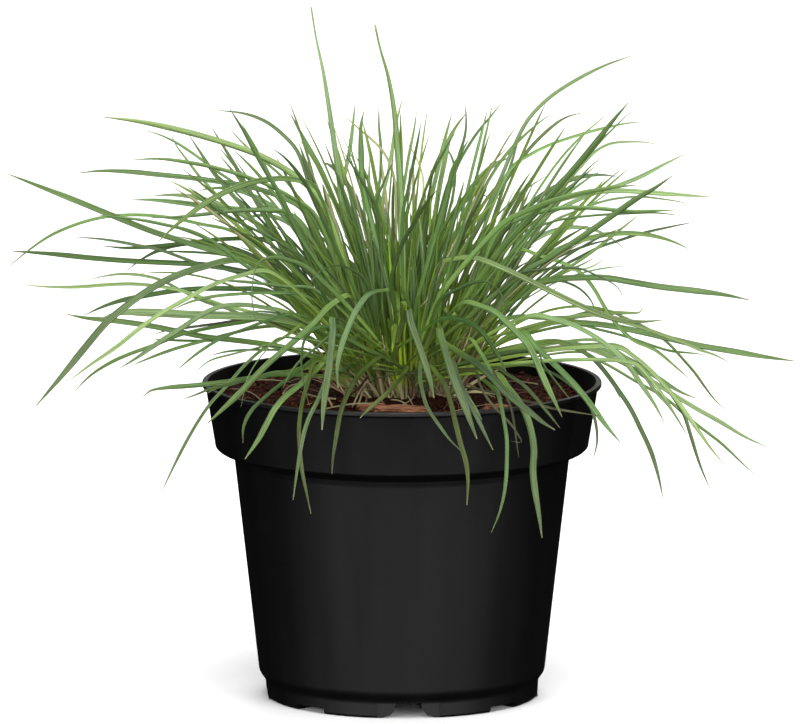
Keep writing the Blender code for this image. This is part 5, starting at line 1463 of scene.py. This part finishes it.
# Shoots that show at the crown's front: width in mm, kind, how far back the top stands from the foot in
# mm, the share of the leaf that they show, and the places passed through, from the foot up.
FRONT_SHOOTS = (
    (2.2, FRESH, -20, 0.45, (403, 399), (401, 378), (400, 355), (399, 330), (398, 300), (397, 270),
     (396, 240)),
    (2.2, FRESH, -22, 0.45, (402, 399), (398, 380), (395, 367), (393, 350), (393, 325), (391, 280),
     (388, 235)),
    (2.0, FRESH, -19, 0.45, (405, 398), (406, 378), (405, 363), (404, 343), (405, 320), (408, 280),
     (412, 238)),
    (1.9, FRESH, -18, 0.4, (407, 397), (411, 373), (413, 363), (418, 345), (422, 325), (430, 290),
     (438, 258)),
    (1.7, FRESH, -10, 0.4, (401, 399), (396, 383), (391, 372), (386, 358), (378, 345), (370, 332)),
    (1.6, FRESH, -12, 0.3, (399, 399), (394, 380), (389, 362), (386, 340), (385, 318)),
    (1.4, HUSK, -7, 1.0, (400, 399), (393, 385), (387, 373), (378, 362), (370, 353)),
    (1.3, HUSK, -4, 1.0, (398, 399), (392, 393), (387, 387), (382, 378), (377, 370)),
    (1.5, HUSK, -7, 1.0, (396, 399), (390, 384), (386, 368), (384, 350)),
    (2.4, DARK, 34, 0.9, (503, 402), (497, 393), (487, 383), (470, 372), (453, 362), (437, 350),
     (422, 343)),
    (2.4, TAN, 30, 0.9, (512, 398), (500, 383), (478, 365), (462, 355), (443, 347)),
    (1.8, HUSK, -5, 1.0, (416, 394), (419, 378), (423, 366), (426, 352)),
    (1.7, FRESH, -8, 0.35, (419, 392), (424, 372), (428, 352), (434, 335), (442, 318)),
    (1.6, FRESH, -6, 0.4, (420, 392), (426, 370), (435, 348), (448, 332), (464, 320)),
    (1.5, FRESH, -5, 0.4, (425, 391), (434, 372), (446, 352), (462, 340), (484, 333)),
    (1.5, TAN, -10, 0.5, (383, 396), (376, 376), (368, 350), (362, 325), (358, 304)),
    (1.4, TAN, -12, 0.5, (389, 397), (384, 372), (379, 345), (376, 320), (374, 300)),
    (1.6, FRESH, -8, 0.35, (376, 396), (370, 378), (362, 360), (352, 345), (340, 333)),
    (1.5, FRESH, -9, 0.35, (380, 396), (376, 376), (371, 356), (364, 336), (356, 318)),
    (2.2, HUSK, -6, 1.0, (364, 384), (358, 370), (352, 358), (344, 348)),
    (2.0, HUSK, -6, 1.0, (366, 386), (361, 372), (358, 360), (356, 350)),
    (1.8, HUSK, -5, 1.0, (372, 392), (366, 380), (358, 372), (350, 370)),
)


def build_front_shoots():
    """The shoots and dry sheaths that show at the crown's front, as they were sighted."""
    taper = readings(SHOOT_SAMPLES, (0.0, 0.3, 0.8, 1.0), (1.0, 0.85, 0.8, 0.25))
    for number, (width, kind, back, share, *places) in enumerate(FRONT_SHOOTS, SHOOT_NUMBERS):
        foot = on_peat(*places[0], -0.5)
        depths = foot[1] + back * MM * readings(len(places), (0.0, 0.2, 1.0), (0.0, 0.7, 1.0))
        knots = [foot] + [sighted(*place, depth) for place, depth in zip(places[1:], depths[1:])]
        path = smooth_curve(np.array(knots), SHOOT_SAMPLES)
        tint = husk_tint(number) if kind is HUSK else leaf_tint(number)
        # Painted light: the fresh shoots in front are made lighter than their own colour.
        if kind is FRESH:
            tint = shaded(tint, SHOOT_PAINTED_LIGHT)
        along = np.linspace(0.0, share, SHOOT_SAMPLES)
        crowd[kind].add_blade(path, taper * width * MM, along, tint, fold=0.4, thick=0.6)


# Straws and threads in front of the crown, sighted like the leaves: width in mm, height over the peat at
# each end, and the places passed through.
LOOSE_STRAWS = (
    (1.0, 1.0, 5.0, (333, 408), (328, 398)),
    (0.9, 0.8, 14.0, (352, 408), (358, 395), (365, 384)),
    (1.0, 0.8, 15.0, (357, 408), (362, 394), (366, 382)),
    (0.6, 0.8, 24.0, (388, 409), (370, 385), (362, 368), (360, 352)),
    (0.6, 0.8, 8.0, (415, 409), (408, 396)),
    (0.5, 6.0, 2.0, (410, 391), (430, 391), (445, 393), (455, 400), (459, 408), (455, 415)),
    (1.3, 0.8, 17.0, (347, 397), (360, 387), (368, 376)),
    (0.9, 0.8, 4.0, (365, 408), (367, 396)),
    (1.1, 0.8, 5.0, (470, 396), (450, 397), (436, 394)),
    (0.8, 0.8, 9.0, (495, 398), (470, 385), (455, 378)),
    (0.9, 0.8, 3.0, (300, 392), (318, 397), (336, 399)),
)
STRAW_FOOT = 0.8
SCATTERED_STRAWS = 26
# Scattered straws start in a band this far from the axis and this wide, stay inside this radius, and lie
# over this height above the peat, in mm.
SCATTER_INNER = 30
SCATTER_BAND = 40
STRAW_REACH = 86
STRAW_LOW = 0.9


def on_peat(column, row, height):
    """The point this high over the peat, in mm, that the picture shows at this column and row."""
    near, far = sighted(column, row, -0.09), sighted(column, row, 0.09)
    part = ((SOIL_TOP + height) * MM - near[2]) / (far[2] - near[2])
    return near + (far - near) * part


def add_straw(number, path, width, twist=0.0):
    """A thin, faded blade of even width in mm along the path."""
    widths, along = np.full(len(path), width * MM), np.linspace(0.0, 1.0, len(path))
    tint = husk_tint(number, STRAW_SHADE)
    crowd[HUSK].add_blade(path, widths, along, tint, fold=0.25, thick=0.3, twist=twist)


def build_straws():
    """Straws that lie on the peat or lean on the crown: those sighted in front, and more all round."""
    for number, (width, low, high, *places) in enumerate(LOOSE_STRAWS, STRAW_NUMBERS):
        heights = [STRAW_FOOT, *np.linspace(low, high, len(places))[1:]]
        knots = [on_peat(*place, height) for place, height in zip(places, heights)]
        add_straw(number, smooth_curve(np.array(knots), STRAW_SAMPLES), width)
    for i in range(SCATTERED_STRAWS):
        number = SCATTER_NUMBERS + i
        bearing = i * GOLDEN_TURN
        radius = SCATTER_INNER + SCATTER_BAND * (i + 0.5) / SCATTERED_STRAWS
        start = np.array((radius * math.cos(bearing), radius * math.sin(bearing), SOIL_TOP + 1.2)) * MM
        length, swing = spread(number, 71, 9.0, 34.0), spread(number, 73, -0.9, 0.9)
        path = arc(start, bearing + spread(number, 72, 0.9, 5.2), 1.35, 0.3, length, SCATTER_SAMPLES, swing)
        inside = np.hypot(path[:, 0], path[:, 1]) < STRAW_REACH * MM
        if not inside[:4].all():
            continue
        path = path[: max(int(inside.sum()), 4)]
        path[:, 2] = np.maximum(path[:, 2], (SOIL_TOP + STRAW_LOW) * MM)
        add_straw(number, path, spread(number, 74, 0.35, 0.8), 0.4)


def make_crowd():
    """All that stands on the crown, as one piece of each kind."""
    for kind, gathered in crowd.items():
        settle(gathered.make("crown_" + kind, MATERIALS[kind]), "crown", "crown")


def rounded(profile, bends):
    """The profile with its corners rounded. Bends gives each corner's radius in mm by its index."""
    out = []
    for i, corner in enumerate(profile):
        if i not in bends:
            out.append(corner)
            continue
        here = np.array(corner)
        to_before = np.array(profile[i - 1]) - here
        to_after = np.array(profile[i + 1]) - here
        first = to_before / np.linalg.norm(to_before) * bends[i]
        last = to_after / np.linalg.norm(to_after) * bends[i]
        out.append(tuple(here + 1.25 * first))
        for t in np.linspace(0.0, 1.0, BEND_STEPS + 1):
            out.append(tuple(here + (1 - t) ** 2 * first + t**2 * last))
        out.append(tuple(here + 1.25 * last))
    return tuple(out)


def finished(obj, sharp):
    """The object with its modifiers applied and its cutters removed, smooth but for sharp bends."""
    graph = bpy.context.evaluated_depsgraph_get()
    mesh = bpy.data.meshes.new_from_object(obj.evaluated_get(graph))
    old = obj.data
    obj.modifiers.clear()
    obj.data = mesh
    bpy.data.meshes.remove(old)
    for cutter in list(cutters.objects):
        bpy.data.objects.remove(cutter)
    mesh.shade_smooth()
    mesh.set_sharp_from_angle(angle=math.radians(sharp))
    return obj


def build_pot():
    """The turned wall, joined with the walls of the channels and notches, which are then cut out."""
    wall = rounded(POT_INSIDE, INSIDE_BENDS) + rounded(POT_LIP, LIP_BENDS)
    wall += rounded(POT_OUTSIDE, OUTSIDE_BENDS)
    pot = add_turned("pot_fine", wall, POT_STEPS, pot_material())
    shell = widened(CHANNEL_SECTION, CHANNEL_WALL, FLOOR_TOP, WALL_FOOT)
    add_boolean(pot, add_cross("channel_walls", shell, CHANNEL_REACH), "UNION")
    add_boolean(pot, add_roofs("notch_roofs", ROOF_WALL, WALL_FOOT, ROOF_REACH), "UNION")
    add_boolean(pot, add_cross("channels", CHANNEL_SECTION, CHANNEL_REACH + CUT_REACH), "DIFFERENCE")
    add_boolean(pot, add_notches("wide_notches", WIDE_NOTCH, WIDE_TURNS), "DIFFERENCE")
    add_boolean(pot, add_notches("narrow_notches", NARROW_NOTCH, NARROW_TURNS), "DIFFERENCE")
    add_boolean(pot, add_drains("drains"), "DIFFERENCE")
    settle(finished(pot, POT_SHARP), "pot_plastic", "pot")


# The surface is level inside this radius and from this edge out, and its waves grow over these bands in
# between, in mm.
LEVEL_RADIUS = 20.0
LEVEL_BAND = 12.0
LEVEL_EDGE = 90.5
LEVEL_EDGE_BAND = 3.0


def soil_rise(x, y):
    """The height of the crumbly surface above the plug's level top."""
    place = Vector((x, y, 0.0))
    rise = 1.0 * noise.noise(place / (13 * MM))
    rise += 0.8 * noise.noise(place / (4.2 * MM) + Vector((7, 3, 1)))
    rise += 0.45 * abs(noise.noise(place / (1.7 * MM)))
    radius = math.hypot(x, y) / MM
    off_crown = min(max((radius - LEVEL_RADIUS) / LEVEL_BAND, 0.0), 1.0)
    off_wall = min(max((LEVEL_EDGE - radius) / LEVEL_EDGE_BAND, 0.0), 1.0)
    return rise * (off_crown * off_wall)


def build_soil():
    """The turned plug, with beds cut out for the floor's ridges and the top roughened."""
    radii = [*np.linspace(0.0, SOIL_EVEN_RADIUS, SOIL_RINGS), SOIL_EDGE]
    top = tuple((radius, SOIL_TOP) for radius in radii)
    soil = add_turned("soil_fine", top + SOIL_SIDE, SOIL_STEPS, soil_material("soil_fine"))
    ridges = widened(CHANNEL_SECTION, CHANNEL_WALL + BED_GAP, FLOOR_TOP + BED_GAP, 0.0)
    add_boolean(soil, add_cross("soil_bed", ridges, BED_REACH), "DIFFERENCE")
    add_boolean(soil, add_roofs("roof_beds", ROOF_WALL + BED_GAP, 0.0, BED_REACH), "DIFFERENCE")
    finished(soil, SOIL_SHARP)
    for vert in soil.data.vertices:
        if vert.co.z > (SOIL_TOP - 0.1) * MM:
            vert.co.z = (SOIL_TOP + soil_rise(vert.co.x, vert.co.y)) * MM
    settle(soil, "soil", "soil")


# Crumbs lie in a band this far from the axis and this wide, and stay inside this radius, in mm.
CRUMBS = 1500
CRUMB_INNER = 26
CRUMB_BAND = 61
CRUMB_REACH = 87.5


def build_crumbs():
    """Crumbs of peat and a few pale specks strewn on the surface."""
    bm = bmesh.new()
    for i in range(CRUMBS):
        radius = CRUMB_INNER + CRUMB_BAND * math.sqrt((i + 0.5) / CRUMBS)
        bearing = i * GOLDEN_TURN + hashed(i, 21)
        radius = min(radius + 3 * (hashed(i, 22) - 0.5), CRUMB_REACH)
        x, y = radius * math.cos(bearing) * MM, radius * math.sin(bearing) * MM
        size = (0.5 + 1.2 * hashed(i, 23) ** 3) * MM
        made = bmesh.ops.create_icosphere(bm, subdivisions=1, radius=size)["verts"]
        turn = Matrix.Rotation(6.3 * hashed(i, 24), 3, (hashed(i, 25) - 0.5, hashed(i, 26) - 0.5, 0.5))
        for vert in made:
            squeeze = Vector((1.0, 0.7 + 0.3 * hashed(i, 27), 0.45 + 0.4 * hashed(i, 28)))
            lump = 1 + 0.5 * noise.noise(vert.co / size * 0.9 + Vector((i, 0, 0)))
            vert.co = turn @ (vert.co * squeeze * lump)
            vert.co += Vector((x, y, (SOIL_TOP + soil_rise(x, y)) * MM + 0.25 * size))
    crumbs = add_bmesh("soil_crumbs", bm, pieces, soil_material("crumb_fine", 1.5))
    settle(crumbs, "soil", "soil")


def build_bark():
    """Split, pinched chips, each in the middle of its CAD node."""
    material = bark_material()
    for number, (size, turn) in enumerate(BARK_CHIPS, 1):
        low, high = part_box(f"bark_chip_{number}")
        bm = bmesh.new()
        bmesh.ops.create_cube(bm, size=1.0)
        bmesh.ops.subdivide_edges(bm, edges=bm.edges, cuts=BARK_CUTS, use_grid_fill=True)
        for vert in bm.verts:
            p = vert.co.copy()
            coarse = noise.noise(p * 2.3 + Vector((number * 5.0, 0, 0)))
            grain = noise.noise(Vector((p.x * 3, p.y * 16, p.z * 16)) + Vector((0, number, 0)))
            pinch = 1.0 - 0.7 * abs(p.x) ** 1.6
            vert.co.x = p.x * (1 + 0.2 * coarse + 0.08 * grain) * size[0] * MM
            vert.co.y = p.y * pinch * (1 + 0.3 * coarse + 0.2 * grain) * size[1] * MM
            vert.co.z = p.z * pinch * (1 + 0.3 * coarse + 0.25 * grain) * size[2] * MM
        chip = add_bmesh(f"bark_chip_{number}_fine", bm, pieces, material)
        chip.data.transform(Matrix.Rotation(math.radians(turn), 4, "Z"))
        chip.location = (low + high) / 2
        chip.data.shade_smooth()
        chip.data.set_sharp_from_angle(angle=math.radians(BARK_SHARP))
        settle(chip, "bark", f"bark_chip_{number}")


# Soft suns: bearing round from the viewer and height in degrees, strength, and width in degrees.
SUNS = (
    ("key_left", -40, 12, 2.0, 26),
    ("key_right", 40, 12, 2.0, 26),
    ("front", 0, 9, 1.3, 26),
    ("top", 8, 70, 3.4, 50),
    ("back", 170, 48, 1.6, 40),
)
WORLD_LIGHT = 0.22
FLOOR_DROP = 0.2


def build_stage():
    """A pale floor, soft light, a white background and the camera."""
    bm = bmesh.new()
    bmesh.ops.create_grid(bm, x_segments=1, y_segments=1, size=60.0)
    m = Nodes("floor")
    m.shade(Base_Color=(0.84, 0.84, 0.84, 1.0), Roughness=0.9, Specular_IOR_Level=0.1)
    floor = add_bmesh("floor", bm, pieces, m.material)
    floor.location.z = -FLOOR_DROP * MM
    floor.visible_glossy = False
    floor.visible_diffuse = False

    for name, bearing, height, strength, wide in SUNS:
        data = bpy.data.lights.new(name, "SUN")
        data.energy = strength
        data.angle = math.radians(wide)
        light = bpy.data.objects.new(name, data)
        light.rotation_euler = (math.radians(90 - height), 0.0, math.radians(bearing))
        pieces.objects.link(light)

    world = bpy.data.worlds.new("studio")
    world.use_nodes = True
    tree = world.node_tree
    seen, lit = tree.nodes["Background"], tree.nodes.new("ShaderNodeBackground")
    seen.inputs[0].default_value = (1.0, 1.0, 1.0, 1.0)
    lit.inputs[0].default_value = (1.0, 1.0, 1.0, 1.0)
    lit.inputs[1].default_value = WORLD_LIGHT
    both, ray = tree.nodes.new("ShaderNodeMixShader"), tree.nodes.new("ShaderNodeLightPath")
    for source, target in (
        (ray.outputs["Is Camera Ray"], both.inputs[0]),
        (lit.outputs[0], both.inputs[1]),
        (seen.outputs[0], both.inputs[2]),
        (both.outputs[0], tree.nodes["World Output"].inputs[0]),
    ):
        tree.links.new(source, target)
    bpy.context.scene.world = world
    world.cycles_visibility.glossy = False

    data = bpy.data.cameras.new("camera")
    data.sensor_width = SENSOR_WIDTH
    data.lens = FOCAL_PIXELS / PICTURE_WIDTH * SENSOR_WIDTH
    data.clip_end = 200
    camera = bpy.data.objects.new("camera", data)
    camera.location = EYE
    camera.rotation_euler = Vector(AIM - EYE).to_track_quat("-Z", "Y").to_euler()
    pieces.objects.link(camera)
    bpy.context.scene.camera = camera
    bpy.context.scene.view_settings.view_transform = "Standard"


build_stage()
build_pot()
build_soil()
build_crumbs()
build_bark()
placed_leaves = []
build_long_leaves(placed_leaves)
build_tuft(placed_leaves)
build_bunches()
build_front_shoots()
build_straws()
make_crowd()
